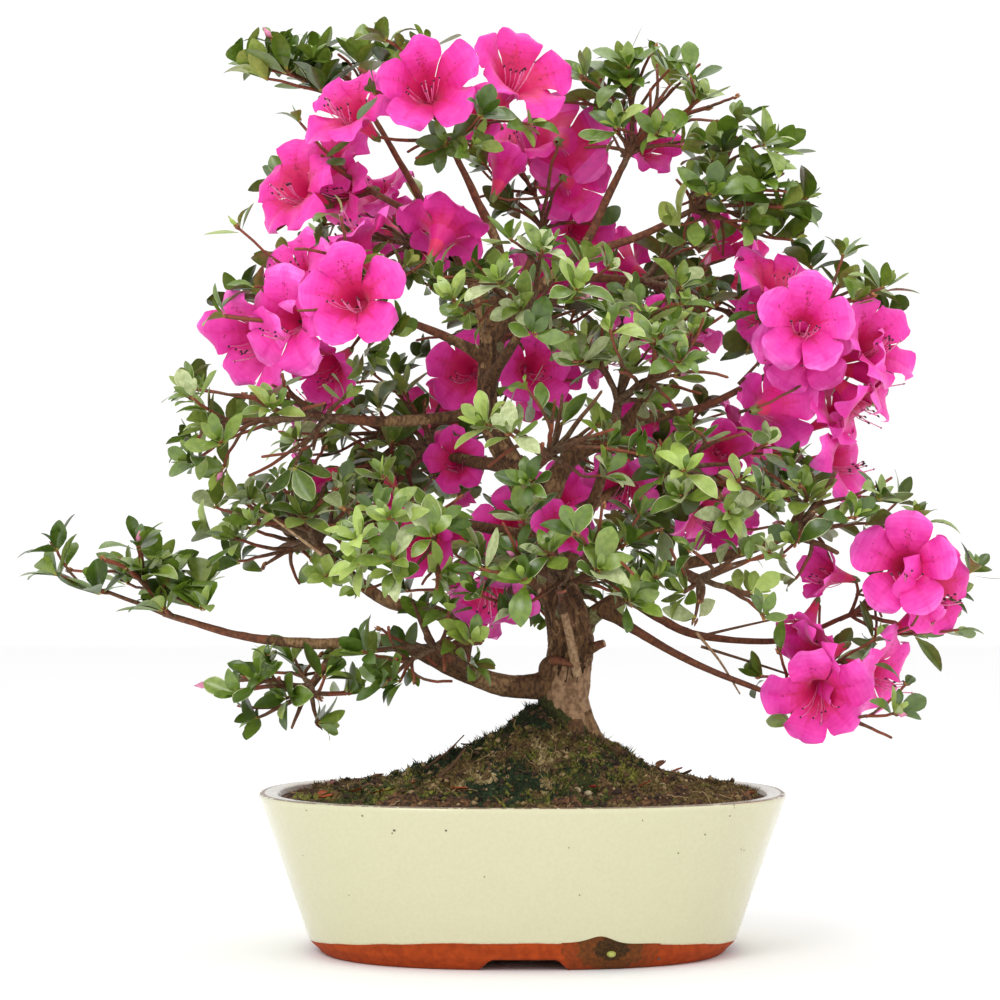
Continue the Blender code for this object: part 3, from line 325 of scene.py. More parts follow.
OBOVATE = (0.04, 0.08, 0.21, 0.38, 0.49, 0.48, 0.33, 0.16, 0.02)
ELLIPTIC = (0.04, 0.13, 0.33, 0.48, 0.49, 0.38, 0.24, 0.13, 0.01)
PLAIN_COLUMNS = (-1.0, -0.5, 0.0, 0.5, 1.0)
EDGED_COLUMNS = (-1.0, -0.91, -0.45, 0.0, 0.45, 0.91, 1.0)
LEAF_GRAIN = (3.0, 0.12, 1.0, {"specular": 0.75})
LEAVES = (
    Look("fresh", (174, 196, 96), 0.34, (158, 184, 82), *LEAF_GRAIN),
    Look("light", (156, 174, 82), 0.34, (136, 158, 68), *LEAF_GRAIN),
    Look("mid", (130, 150, 58), 0.34, (108, 132, 44), *LEAF_GRAIN),
    Look("deep", (103, 129, 36), 0.34, (85, 111, 28), *LEAF_GRAIN),
    Look("dark", (76, 102, 24), 0.34, (60, 86, 18), *LEAF_GRAIN),
    Look("dusty", (186, 196, 146), 0.5, (158, 170, 116), 3.0, 0.12, 1.0, {"specular": 0.4}),
    # margin: partly the pale hairs of a leaf's edge, partly a painted glint of light along it
    Look("margin", (204, 210, 160), 0.5, more={"specular": 0.3}),
    Look("foot", (166, 160, 70), 0.5, more={"specular": 0.3}),
)

# The colours that a shoot of each tone deals out, as places in the list above
TONES = {
    "dark": ((3, 3, 4), (2, 3, 3), (3, 4, 4), (2, 3, 3), (1, 2, 3)),
    "mid": ((2, 3, 4), (3, 2, 4), (2, 4, 5), (3, 4, 4), (1, 3, 2)),
    "light": ((1, 3, 2), (2, 5, 3), (0, 1, 3), (3, 2, 5), (2, 3, 4), (4, 3, 3)),
}
YOUNG = (0, 0, 1, 1, 1, 2, 2)
# Share of leaves with a pale margin, partly pale hairs and partly a painted glint, by the tone of their mass
EDGED_SHARES = {"dark": 0.06, "mid": 0.35, "light": 0.55}

# Blooms: radius, level and half-width of a lobe along it, from the foot of the tube to the rim
BLOOM_V = (0.0, 0.15, 0.3, 0.42, 0.52, 0.65, 0.8, 0.92, 1.0)
BLOOM_R = (2.0, 3.0, 4.6, 7.0, 10.5, 15.5, 21.5, 26.5, 29.5)
BLOOM_Z = (0.0, 6.0, 13.0, 19.0, 23.0, 26.2, 28.0, 27.6, 25.8)
BUD_R = (2.0, 3.0, 4.5, 6.5, 8.0, 9.0, 9.0, 7.0, 4.0)
BUD_Z = (0.0, 6.0, 13.0, 20.0, 27.0, 33.0, 39.0, 44.0, 47.0)
LOBE_HALF = (1.5, 2.3, 3.5, 5.4, 8.4, 11.4, 12.6, 11.2, 7.8)
LOBE_ROWS = (0.0, 0.14, 0.26, 0.35, 0.42, 0.48, 0.54, 0.6, 0.67, 0.74, 0.81, 0.88, 0.94, 0.98, 1.0)
LOBE_COLUMNS = (-1.0, -0.86, -0.66, -0.46, -0.26, -0.1, 0.0, 0.1, 0.26, 0.46, 0.66, 0.86, 1.0)
LOBES = (90.0, 18.0, 162.0, -54.0, -126.0)

# How the lobes turn, tilt and swell, leave the funnel, ripple, lap over and fall back at their tips
LOBE_SPREAD = 4.0
LOBE_HALF_TURN = 36.0
LOBE_TILTS = (-0.2, 0.2)
LOBE_SWELLS = (0.9, 1.08)
FLARES = (-0.3, 0.3)
FREE_FROM = 0.42
FREE_RUN = 0.2
TIP_FROM = 0.62
TIP_RUN = 0.38
TIP_NOTCH = 0.5
CORNERS_BACK = 3.6
LOBE_RIPPLE = 1.9
EDGE_RIPPLE = 2.8
EDGE_DROOP = 2.4
CREASE = 0.6
LAP = 0.9

# Bearing of a bloom, its speckles, tube, stamens, pistil and calyx
HALF_OPEN = 0.5
UP_SPREAD = 0.25
STEEP = 0.85
SPECKLES = 34
SPECKLED_LOBES = 3
SPECKLE_PROUD = 0.22
TUBE_ROWS = (0.0, 0.14, 0.28, 0.38, 0.46)
TUBE_SIDES = 15
TUBE_PLAIN_ROWS = 2
TUBE_PROUD = 0.35
TUBE_TONE = 2
STOP = (2.9, 5.4, 4.6)
STOP_SIDES = 10
STAMENS = (6, 9)
PISTIL = (0.42, (0.9, 0.9, 0.5), "pistil", "stigma")
STAMEN = (0.34, (0.75, 0.75, 1.3), "filament", "anther")
SEPALS = 5
CUP = ((0.9, -5.0), (2.4, -2.0), (2.7, 0.6))
CUP_SIDES = 6

# How near leaves and twigs may come to an open bloom, behind, ahead and beside it
BLOOM_BACK = 12.0
BLOOM_AHEAD = 26.0
BLOOM_WIDE = 25.0
PETAL_BAND = (-9.0, 12.0)
PETAL_CHECKS = 6
THROATS_NEAR = 60.0

# Petal colours: keys along a lobe from the throat to the rim, dealt out in even steps, and single marks
PETAL_KEYS = (
    (0.4, (192, 14, 86)),
    (0.5, (201, 18, 114)),
    (0.6, (211, 27, 138)),
    (0.74, (220, 40, 153)),
    (0.9, (227, 60, 169)),
    (1.0, (236, 92, 190)),
)
PETAL_STEPS = 12
PETAL_LIGHTER = (10.0, 24.0, 14.0)
# The petals' painted glow is painted light: a faint emission in their own colour stands for light shining
# through them
PETAL_GRAIN = (5.0, 0.08, 1.6, {"sheen": 0.15, "painted_glow": 0.08, "specular": 0.3, "spread": 0.25})
PETALS_MORE = (
    Look("tube", (224, 52, 104), 0.5, None, *PETAL_GRAIN),
    Look("speckle", (166, 4, 76), 0.6),
    Look("pale", (227, 70, 166), 0.5, None, *PETAL_GRAIN),
    Look("pale_rim", (233, 96, 182), 0.5, None, *PETAL_GRAIN),
)
BLOOM_TONES = (-0.16, 0.06)
# Pale blooms: outer petals paler, partly their own tint and partly painted light shining through the petals
PALE_FROM = 0.7
PALE_RIM_FROM = 0.86
BLOOM_PARTS = (
    Look("filament", (244, 120, 176), 0.4),
    Look("pistil", (246, 150, 190), 0.4),
    Look("anther", (66, 14, 34), 0.6),
    Look("stigma", (150, 30, 70), 0.35),
    Look("sepal", (120, 130, 62), 0.5),
    Look("scale", (168, 112, 66), 0.6),
    Look("scale_dark", (118, 72, 46), 0.6),
)

# Bark: relief that runs along a limb, its depth for each millimetre of radius, and its colours, the darkest
# painted shade in the trunk's fissures
BARK_STRETCH = 0.3
BARK_DEPTH = 0.09
BARK_LEAST = 0.1
BARK_MOST = 1.0
BARK_RING = 1.3
YOUNG_LIMB = 2.7
TRUNK_SIDES = 120
TRUNK_STEPS_FINE = 14
STUB_SIDES = 32
STUB_STEPS = 8
THICK_BOUGH = 4.5
BOUGH_SIDES = (16, 24)
COLLAR = 0.4
COLLAR_REACH = 6.0
TRUNK_LINE = (
    (42, 0, 98), (40, 0, 118), (36.5, 0, 132), (35.3, 0, 139), (37, 0, 149), (38.8, 0, 160), (40, 0, 169),
    (38, 0, 183), (33, 1, 200), (29, 1, 214), (22.5, 2, 241), (13, 3, 258), (1, 4, 279), (-6, 5, 297),
    (-7, 5, 324), (-6, 4, 352),
)
TRUNK_LEVELS = (98.0, 118.0, 132.0, 149.0, 160.0, 169.0, 183.0, 214.0, 240.0, 255.0, 285.0, 311.0, 352.0)
TRUNK_RADII = (17.0, 15.0, 14.2, 13.6, 12.4, 12.6, 12.2, 10.6, 9.4, 7.9, 6.6, 5.4, 4.7)
BARKS = (
    # painted shade for the sunk fissures of the trunk
    Look("shaded_furrow", (50, 32, 18), 0.95, (84, 58, 34), 1.6, 0.3, 0.8),
    Look("brown", (112, 80, 48), 0.9, (68, 44, 26), 1.7, 0.35, 0.8, {"stretch": (1.0, 1.0, 0.45)}),
    Look("tan", (150, 118, 80), 0.9, (100, 72, 46), 1.6, 0.3, 0.7, {"stretch": (1.0, 1.0, 0.5)}),
    Look("pink", (168, 134, 100), 0.8, (120, 88, 60), 3.0, 0.25, 0.9),
    Look("young", (126, 74, 46), 0.8, (92, 52, 34), 2.4, 0.2, 0.8),
    Look("lichen", (132, 132, 86), 0.95, (98, 88, 56), 1.4, 0.4, 0.6),
    Look("moss", (66, 70, 26), 1.0, (44, 42, 20), 1.6, 0.6, 0.7),
    Look("cut", (186, 150, 112), 0.8, None, 2.0, 0.2, 0.8),
)

# The knot, the cut stubs and the roots' beginnings on the trunk: root radius, tip radius and bends
STUBS = (
    (4.6, 1.2, ((29, -6, 149), (25, -12, 155), (27, -15, 160), (34, -16, 160), (42, -16, 157))),
    (3.4, 2.2, ((46, -6, 164), (53, -10, 168), (58, -12, 170))),
    (2.2, 1.8, ((28, -4, 196), (22, -8, 199))),
    (9.0, 2.8, ((43, -3, 128), (52, -5, 114), (62, -7, 106), (76, -10, 98))),
    (8.0, 3.0, ((40, -8, 124), (42, -18, 112), (46, -28, 103))),
)

# Pot, as its solid
POT_CENTRE = np.array((12.5, 0.0, 0.0))
POT_OVAL_POWER = 2.4
POT_DEPTH_RATIO = 0.77
POT_HEIGHT = 87.5
RIM_HALF_WIDTH = 146.0
LIP_WIDTH = 10.6
LIP_ROUND = 1.6
LIP_LEVEL = POT_HEIGHT - LIP_ROUND
INNER_HALF_WIDTH = RIM_HALF_WIDTH - LIP_WIDTH
BASE_HALF_WIDTH = 118.5
BASE_LEVEL = 8.0
WALL_SLOPE = (RIM_HALF_WIDTH - BASE_HALF_WIDTH) / (LIP_LEVEL - BASE_LEVEL)
FLOOR_LEVEL = 16.0
FLOOR_HALF_WIDTH = 107.0
FOOT_HALF_WIDTH = 111.0
FOOT_HEIGHT = 6.0
RECESS_HALF_WIDTH = 94.0
NOTCH_HALF_LOW = 25.0
NOTCH_HALF_HIGH = 16.0

# The pot's rings: shares of the recess, steps past its edge and past the foot's, and levels of the inner wall
POT_ANGLES = 640
RECESS_SHARES = (0.0, 0.3, 0.6, 0.9, 1.0)
RECESS_EDGE = ((0.8, 1.0), (2.0, 0.0))
FOOT_EDGE = ((-2.0, 0.0), (0.0, 0.25), (1.6, 1.2), (3.0, 3.0), (5.5, 5.2))
CLAY_ROWS = 9
GLAZE_STEP = ((0.008, 0.3), (0.02, 0.38))
WALL_ROWS = 42
GLAZE_PROUD = 0.3
LIP_ANGLES = (25.0, 50.0, 70.0, 90.0)
INNER_LEVELS = (84.0, 80.0, 74.0, 60.0, 40.0, FLOOR_LEVEL + 1.0)

# Glaze line at the ends and the front, the stain below it, pits and colours
GLAZE_LINE_END = 7.4
GLAZE_LINE_FRONT = 15.2
STAIN = (58.5, 11.5)
STAIN_WIDE = 1.5
STAIN_RISE = 3.6
STAIN_RINGS = ((17.0, "clay_dark"), (11.5, "clay_brown"), (6.5, "soot"))
STAIN_PEBBLE = 2.3
GLAZE_PITS = ((-55.0, 75.0, 0.8), (-28.0, 75.5, 0.7), (84.0, 5.0, 1.0))
GLAZE_PITS_MORE = 60
PIT_LEAN = 0.31
GLAZES = (
    Look("glaze", (198, 195, 160), 0.2, (203, 200, 166), 2.0, 0.05, 1.5, {"spread": 0.2, "coat": 0.5}),
    Look("glaze_edge", (214, 196, 160), 0.22, more={"coat": 0.4}),
    Look("clay", (164, 64, 18), 0.8, (144, 54, 14), 4.0, 0.15, 0.9, {"specular": 0.2}),
    Look("clay_dark", (142, 60, 20), 0.8, (118, 52, 18), 2.5, 0.15, 0.9, {"specular": 0.2}),
    Look("clay_brown", (112, 60, 22), 0.8, (88, 50, 20), 2.0, 0.2, 1.0, {"specular": 0.2}),
    Look("soot", (74, 48, 20), 0.8, (48, 32, 14), 1.6, 0.2, 1.2, {"specular": 0.2}),
    Look("lip", (194, 186, 160), 0.22, (176, 162, 138), 9.0, 0.05, 1.0, {"coat": 0.4}),
    # lip_edge: partly thin glaze on the lip's edges, partly a painted shadow line
    Look("lip_edge", (118, 94, 72), 0.35, (146, 124, 100), 3.0),
    # wall: grey-brown painted shade inside the pot
    Look("wall", (124, 104, 88), 0.8, None, 2.0, 0.2),
    Look("pit", (92, 70, 52), 0.6),
)

# Soil mound: distance from the trunk's foot and the level there, to the left, the right, and front and back
TRUNK_FOOT = (40.0, 0.0)
MOUND_LEFT = ((0.0, 23.0, 45.0, 73.0, 96.0, 150.0, 176.0), (137.0, 133.0, 117.0, 105.0, 95.0, 85.5, 83.0))
MOUND_RIGHT = ((0.0, 14.0, 27.0, 44.0, 61.0, 100.0, 112.0), (117.0, 116.0, 109.0, 100.0, 94.0, 86.5, 83.0))
MOUND_FRONT = ((0.0, 15.0, 28.0, 42.0, 60.0, 80.0, 104.0), (124.0, 121.0, 113.0, 103.0, 95.0, 88.0, 83.0))

# Its mesh, moss blades, patches and colours
SOIL_ANGLES = 300
SOIL_ROWS = 110
SOIL_PLAY = 1.2
SOIL_BOTTOM = 60.0
MOSS_BLADES = 24000
MOSS_TALL = (0.9, 3.8)
MOSS_WIDE = (0.25, 0.7)
STRAY_MOSS = 0.15
MOSS_PATCHES = (
    (8.0, -56.0, 24.0, "moss_dark"), (22.0, -34.0, 15.0, "dry_moss"), (24.0, -36.0, 7.0, "lichen"),
    (70.0, -42.0, 10.0, "moss_light"), (-22.0, -42.0, 11.0, "dry_moss"), (-76.0, -46.0, 22.0, "moss"),
    (-98.0, -34.0, 9.0, "moss_light"), (-58.0, -60.0, 8.0, "moss_light"), (44.0, -60.0, 11.0, "moss"),
)
SOILS = (
    Look("soil", (86, 58, 34), 1.0, (42, 28, 18), 1.8, 0.5, 0.9),
    Look("soil_brown", (132, 92, 58), 1.0, (78, 52, 34), 1.6, 0.5, 0.9),
    Look("dry_moss", (124, 104, 58), 1.0, (72, 54, 28), 1.5, 0.6, 0.8),
    Look("moss", (76, 84, 30), 1.0, (38, 42, 16), 1.5, 0.6, 0.7),
    Look("moss_dark", (40, 60, 26), 1.0, (24, 30, 14), 1.5, 0.6, 0.7),
    Look("moss_light", (136, 134, 52), 1.0, (84, 84, 30), 1.5, 0.6, 0.7),
    Look("lichen", (178, 160, 114), 1.0, (116, 98, 60), 1.5, 0.5, 0.6),
)

# Litter on the mound: crumbs, whose kinds are places in the list below, dry roots, bark chips, dead leaves,
# then fallen petals, pebbles and the bends of one larger root, each in its place
CRUMBS = 5000
CRUMB_KINDS = (0, 0, 0, 1, 2, 2, 3, 3, 4, 4)
ROOTLETS = 150
ROOTLET_STEPS = 6
BARK_CHIPS = 46
DEAD_LEAVES = 8
FALLEN = (
    (-98, -38, "petal"), (-90, -50, "petal"), (-70, -54, "petal"), (-54, -48, "petal"), (-82, -40, "petal"),
    (-63, -52, "petal_red"), (-17, -70, "petal"), (52, -64, "petal_red"), (72, -58, "petal"),
    (140, -22, "petal"), (-96, 30, "petal_red"), (20, 74, "petal"), (96, 40, "petal"),
)
PEBBLES = ((41, -68, 2.6), (47, -71, 2.2), (-20, -60, 1.8), (88, -44, 2.0), (-60, 40, 2.2))
ROOT = ((-34, -46, 1.5), (-26, -40, 4.0), (-19, -34, 9.0))
LITTER = (
    Look("chip", (98, 70, 46), 0.95),
    Look("chip_pale", (176, 148, 106), 0.95),
    Look("chip_dark", (52, 36, 26), 0.95),
    Look("olive", (108, 106, 44), 1.0),
    Look("tan", (140, 118, 74), 1.0),
    Look("petal", (184, 84, 42), 0.7),
    Look("petal_red", (150, 36, 34), 0.7),
    Look("pebble", (186, 168, 132), 0.8),
    Look("pebble_green", (172, 174, 84), 0.5),
    Look("dead_leaf", (128, 84, 48), 0.8),
)


def slots_of(looks):
    """The place of each look in its list, by name."""
    return {look.name: k for k, look in enumerate(looks)}


def eased(values):
    """A listed profile at a hundred even steps along a lobe, its corners rounded."""
    fine = np.interp(np.linspace(-0.05, 1.05, 111), BLOOM_V, values)
    return np.convolve(fine, np.full(11, 1.0 / 11.0), "valid")


LEAF_SLOTS, PART_SLOTS, TWIG_SLOTS, BARK_SLOTS = map(slots_of, (LEAVES, BLOOM_PARTS, TWIGS, BARKS))
POT_SLOTS, SOIL_SLOTS, LITTER_SLOTS = map(slots_of, (GLAZES, SOILS, LITTER))
BLOOM_SLOTS = {name: PETAL_STEPS + k for name, k in slots_of(PETALS_MORE).items()}
PROFILE_STEPS = np.linspace(0.0, 1.0, 101)
PROFILES = [eased(values) for values in (BLOOM_R, BLOOM_Z, LOBE_HALF)]


def linear(colour):
    """A colour as it is seen, each part from 0 to 255, in the light values that shaders take."""
    parts = [c / 255.0 for c in colour]
    return tuple(((c + 0.055) / 1.055) ** 2.4 if c > 0.04 else c / 12.92 for c in parts) + (1.0,)


def fill(node, values):
    for name, value in values.items():
        node.inputs[name].default_value = value


def make_material(name, colour, roughness, second=None, patch=2.0, bump=0.05, grain=1.0, spread=0.12,
                  stretch=(1.0, 1.0, 1.0), coat=0.0, sheen=0.0, painted_glow=0.0, specular=0.5):
    """A material of one plain colour, or of two in patches with a grain as bump; sizes in millimetres. Its
    painted glow, where given, is painted light: it shines faintly in its own colour though it is no lamp.
    """
    material = bpy.data.materials.new(name)
    material.use_nodes = True
    nodes, links = material.node_tree.nodes, material.node_tree.links
    shader = nodes["Principled BSDF"]
    fill(shader, {"Base Color": linear(colour), "Roughness": roughness, "Specular IOR Level": specular,
                  "Coat Weight": coat, "Coat Roughness": COAT_ROUGHNESS,
                  "Sheen Weight": sheen, "Sheen Roughness": SHEEN_ROUGHNESS})
    # painted glow: emission in the base colour, painted light that stands for light shining through thin
    # petals
    if painted_glow:
        fill(shader, {"Emission Color": linear(colour), "Emission Strength": painted_glow})
    if not second:
        return material
    place = nodes.new("ShaderNodeTexCoord")
    mapping = nodes.new("ShaderNodeMapping")
    fill(mapping, {"Scale": stretch})
    links.new(place.outputs["Object"], mapping.inputs["Vector"])

    def specks(size, detail):
        node = nodes.new("ShaderNodeTexNoise")
        fill(node, {"Scale": 1.0 / (size * MM), "Detail": detail})
        links.new(mapping.outputs["Vector"], node.inputs["Vector"])
        return node.outputs["Fac"]

    ramp = nodes.new("ShaderNodeValToRGB")
    first, last = ramp.color_ramp.elements
    first.position, first.color = 0.5 - spread, linear(colour)
    last.position, last.color = 0.5 + spread, linear(second)
    links.new(specks(patch, PATCH_DETAIL), ramp.inputs["Fac"])
    links.new(ramp.outputs["Color"], shader.inputs["Base Color"])
    relief = nodes.new("ShaderNodeBump")
    fill(relief, {"Strength": RELIEF, "Distance": bump * MM})
    links.new(specks(grain, GRAIN_DETAIL), relief.inputs["Height"])
    links.new(relief.outputs["Normal"], shader.inputs["Normal"])
    return material


def materials_of(prefix, looks):
    """The materials of a family, with darker patches where a look names no second colour."""
    made = []
    for look in looks:
        second = look.second or tuple(channel * DEEPER for channel in look.colour)
        made.append(make_material(f"{prefix}_{look.name}", look.colour, look.roughness, second, look.patch,
                                  look.bump, look.grain, **look.more))
    return made


def noise(points, size, seed):
    """Smooth noise between -1 and 1 at each point, its features of the given size."""
    spots = np.asarray(points, float) / size + seed * 17.31
    cell = np.floor(spots).astype(np.int64)
    part = spots - cell
    part = part * part * (3.0 - 2.0 * part)
    total = np.zeros(len(spots))
    for corner in range(8):
        step = np.array((corner & 1, corner >> 1 & 1, corner >> 2 & 1))
        x, y, z = (cell + step).T
        mix = (x * 73856093) ^ (y * 19349663) ^ (z * 83492791) ^ (seed * 2654435)
        mix = (mix ^ (mix >> 13)) * 1274126177
        value = ((mix ^ (mix >> 16)) & 0xFFFFFF) / float(0x7FFFFF) - 1.0
        weight = np.where(step, part, 1.0 - part).prod(axis=1)
        total += weight * value
    return total


def fractal(points, size, seed, layers):
    """Noise with finer layers added, each half as large and half as strong."""
    return sum(noise(points, size / 2 ** k, seed + k) / 2 ** k for k in range(layers))


def smooth_step(value):
    value = np.clip(value, 0.0, 1.0)
    return value * value * (3.0 - 2.0 * value)


def grid(rows, columns, wrap=False):
    """Four-cornered faces over points listed row by row, joined round where asked."""
    i, j = np.meshgrid(np.arange(rows - 1), np.arange(columns if wrap else columns - 1), indexing="ij")
    low = i * columns + j
    high = i * columns + (j + 1) % columns
    return np.stack((low, high, high + columns, low + columns), -1).reshape(-1, 4)


class Batch:
    """Faces of three or four corners gathered for one object, each with the place of its material."""

    def __init__(self):
        self.points, self.faces, self.slots, self.count = [], [], [], 0

    def add(self, points, faces, slots):
        points = np.asarray(points, float).reshape(-1, 3)
        faces = np.asarray(faces, int)
        if faces.shape[1] == 3:
            faces = np.column_stack((faces, np.full(len(faces), -1)))
        self.points.append(points)
        self.faces.append(np.where(faces >= 0, faces + self.count, -1))
        self.slots.append(np.broadcast_to(slots, len(faces)))
        self.count += len(points)

    def make(self, name, materials, smooth=True):
        points = np.concatenate(self.points) * MM
        faces = np.concatenate(self.faces)
        corners = (faces >= 0).sum(axis=1)
        loops = faces[faces >= 0]
        mesh = bpy.data.meshes.new(name)
        mesh.vertices.add(len(points))
        mesh.vertices.foreach_set("co", points.ravel())
        mesh.loops.add(len(loops))
        mesh.loops.foreach_set("vertex_index", loops)
        mesh.polygons.add(len(faces))
        mesh.polygons.foreach_set("loop_start", np.concatenate(([0], np.cumsum(corners)[:-1])))
        mesh.polygons.foreach_set("material_index", np.concatenate(self.slots))
        mesh.polygons.foreach_set("use_smooth", np.full(len(faces), smooth))
        mesh.update(calc_edges=True)
        for material in materials:
            mesh.materials.append(material)
        mesh.validate()
        obj = bpy.data.objects.new(name, mesh)
        bpy.context.scene.collection.objects.link(obj)
        return obj


def smooth_path(points, steps):
    """A Catmull-Rom curve through the given bends."""
    spine = [Vector(p) for p in points]
    padded = [spine[0] * 2.0 - spine[1]] + spine + [spine[-1] * 2.0 - spine[-2]]
    path = []
    for i in range(1, len(padded) - 2):
        a, b, c, d = padded[i - 1:i + 3]
        for step in range(steps):
            t = step / steps
            path.append(0.5 * ((2.0 * b) + (c - a) * t + (2.0 * a - 5.0 * b + 4.0 * c - d) * t ** 2
                               + (3.0 * b - a - 3.0 * c + d) * t ** 3))
    path.append(spine[-1])
    return path


def bent(start, pull, end, t):
    """The place at a share of the way along a single bend."""
    return start * (1 - t) ** 2 + pull * 2 * t * (1 - t) + end * t ** 2


def across(direction):
    """Two directions at right angles to the one given and to each other."""
    helper = Vector((0.0, 0.0, 1.0)) if abs(direction.z) < 0.9 else Vector((1.0, 0.0, 0.0))
    side = direction.cross(helper).normalized()
    return side, direction.cross(side).normalized()


def frame_of(way):
    """Rows that turn a shape so that its own height points the given way."""
    return np.array((*across(way), way))


def random_way(rng):
    return Vector((rng.gauss(0, 1), rng.gauss(0, 1), rng.gauss(0, 1))).normalized()


def round_turns(count):
    """Even angles all the way round."""
    return 2.0 * math.pi * np.arange(count) / count


def taper(root, tip, count):
    return [root + (tip - root) * i / (count - 1) for i in range(count)]


def around(path, count):
    """The middles of the rings along a path, and the ways out at each ring, carried on without twisting."""
    side = across((path[1] - path[0]).normalized())[0]
    sides, ups = [], []
    for i in range(len(path)):
        ahead = (path[min(i + 1, len(path) - 1)] - path[max(i - 1, 0)]).normalized()
        side = (side - ahead * side.dot(ahead)).normalized()
        sides.append(side.copy())
        ups.append(ahead.cross(side))
    turn = round_turns(count)[None, :, None]
    return np.array(path), np.array(sides)[:, None] * np.cos(turn) + np.array(ups)[:, None] * np.sin(turn)


def end_cap(rows, count):
    """Three-cornered faces from the last ring to one more point, the last one."""
    last = (rows - 1) * count + np.arange(count)
    return np.column_stack((last, np.roll(last, -1), np.full(count, rows * count), np.full(count, -1)))


def bar(path, radii, count):
    """Points and faces of a round bar whose tip closes to a point."""
    centres, ways = around(path, count)
    points = centres[:, None] + ways * np.asarray(radii)[:, None, None]
    tip = centres[-1] + (centres[-1] - centres[-2]) * BAR_TIP
    points = np.concatenate((points.reshape(-1, 3), [tip]))
    return points, np.concatenate((grid(len(path), count, wrap=True), end_cap(len(path), count)))


def limb_path(name):
    steps = TRUNK_STEPS if name == "trunk" else BOUGH_STEPS
    return smooth_path(LIMBS[name].points, steps)


def trunk_reach(level):
    """The widest radius of the solid trunk at a height, for the clearance test."""
    trunk = LIMBS["trunk"]
    low, high = trunk.points[0][2], trunk.points[-1][2]
    radius = trunk.root + (trunk.tip - trunk.root) * (level - low) / (high - low)
    radius += FORK_SWELL * math.exp(-((level - FORK_LEVEL) / FORK_SPREAD) ** 2)
    return radius + FLARE_REACH * math.exp(-(level - low) / FLARE_FALL)


def segment_distance(a, b, c, d):
    """The shortest distance between segments ab and cd."""
    u, v, w = b - a, d - c, a - c
    uu, uv, vv = u.dot(u), u.dot(v), v.dot(v)
    uw, vw = u.dot(w), v.dot(w)
    spread = uu * vv - uv * uv
    s = 0.0 if spread < 1e-9 else min(max((uv * vw - vv * uw) / spread, 0.0), 1.0)
    t = (uv * s + vw) / vv if vv > 1e-9 else 0.0
    t = min(max(t, 0.0), 1.0)
    s = min(max((uv * t - uw) / uu, 0.0), 1.0) if uu > 1e-9 else 0.0
    return ((a + u * s) - (c + v * t)).length


def limb_bars():
    """Every limb as short straight bars with their thicker radius, for the clearance test."""
    bars = []
    for name, limb in LIMBS.items():
        path = limb_path(name)
        radii = taper(limb.root, limb.tip, len(path))
        for i in range(len(path) - 1):
            radius = trunk_reach(path[i].z) if name == "trunk" else radii[i]
            bars.append((name, path[i], path[i + 1], radius))
    return bars


class Space:
    """The room a mass keeps to: its ellipsoid, walled off from every other mass and clear of the limbs."""

    def __init__(self, name, bars):
        mass = MASSES[name]
        self.centre = Vector(mass.centre)
        self.reach = Vector(mass.reach)
        self.walls = []
        for other_name, other in MASSES.items():
            if other_name == name:
                continue
            line = Vector(other.centre) - self.centre
            normal = line.normalized()
            own = self.support(self.reach, normal)
            theirs = self.support(Vector(other.reach), normal)
            if line.length < own + theirs + 2.0 * BLOOM_PROUD:
                self.walls.append((normal, self.centre.dot(normal) + line.length * own / (own + theirs)))
        if name in UNDERSIDES:
            fall, level = UNDERSIDES[name]
            self.walls.append((Vector((-fall, 0.0, -1.0)), -level))
        self.bough = mass.bough
        nearby = max(self.reach) * BAR_REACH
        self.bars = [row for row in bars if not (mass.bough in FUSED_STEMS and row[0] == mass.bough)
                     and min((row[1] - self.centre).length, (row[2] - self.centre).length) < nearby]

    @staticmethod
    def support(reach, normal):
        return math.sqrt(sum((r * n) ** 2 for r, n in zip(reach, normal)))

    def holds(self, point, margin=SPACE_MARGIN, proud=0.0):
        offset = point - self.centre
        if sum((o / (r - margin + proud)) ** 2 for o, r in zip(offset, self.reach)) > 1.0:
            return False
        return all(point.dot(normal) < limit - margin + proud for normal, limit in self.walls)

    def clear(self, a, b, radius):
        for name, c, d, thick in self.bars:
            margin = 0.0 if name == self.bough else LIMB_MARGIN
            if segment_distance(a, b, c, d) < thick + radius + margin:
                return False
        return True


class Twig:
    """A bent twig from a fork to a shoot end."""

    def __init__(self, start, pull, end, root, tip, path_length):
        self.start, self.pull, self.end = start, pull, end
        self.root, self.tip = root, tip
        self.before = path_length
        self.length = (pull - start).length + (end - pull).length

    def at(self, t):
        return bent(self.start, self.pull, self.end, t)

    def heading(self, t):
        return ((self.pull - self.start) * (1 - t) + (self.end - self.pull) * t).normalized()

    def radius(self, t):
        return self.root + (self.tip - self.root) * t

    def points(self, steps):
        return [self.at(i / steps) for i in range(steps + 1)]


def facing(bearing, rise):
    turn, lift = math.radians(bearing), math.radians(rise)
    return Vector((math.sin(turn) * math.cos(lift), -math.cos(turn) * math.cos(lift), math.sin(lift)))


def stem_of(mass):
    """The mass's stem, which goes on from its bough's tip in the bough's own line."""
    path = limb_path(mass.bough)
    ahead = (path[-1] - path[-2]).normalized()
    start = path[-1] - ahead * STEM_SINK
    end = start + ahead * (STEM_LENGTH + STEM_SINK)
    thick = LIMBS[mass.bough].tip * (1.0 - LIMB_THINNING.get(mass.bough, 0.0))
    return Twig(start, start.lerp(end, 0.5), end, thick, thick * STEM_TAPER, 0.0)


def spare_point(rng, space, taken, blooms, room, clear):
    """The best of a few random points of the space: the one that lies furthest from the shoots so far."""
    best, best_room = None, -1.0
    for _ in range(CANDIDATES):
        way = random_way(rng)
        far = rng.random() ** SHELL_BIAS
        point = space.centre + Vector(w * r for w, r in zip(way, space.reach)) * far
        if not space.holds(point, room):
            continue
        if any((point - bloom).length < clear for bloom in blooms):
            continue
        apart = min(((point - other).length for other in taken), default=1.0)
        if apart > best_room:
            best, best_room = point, apart
    return best


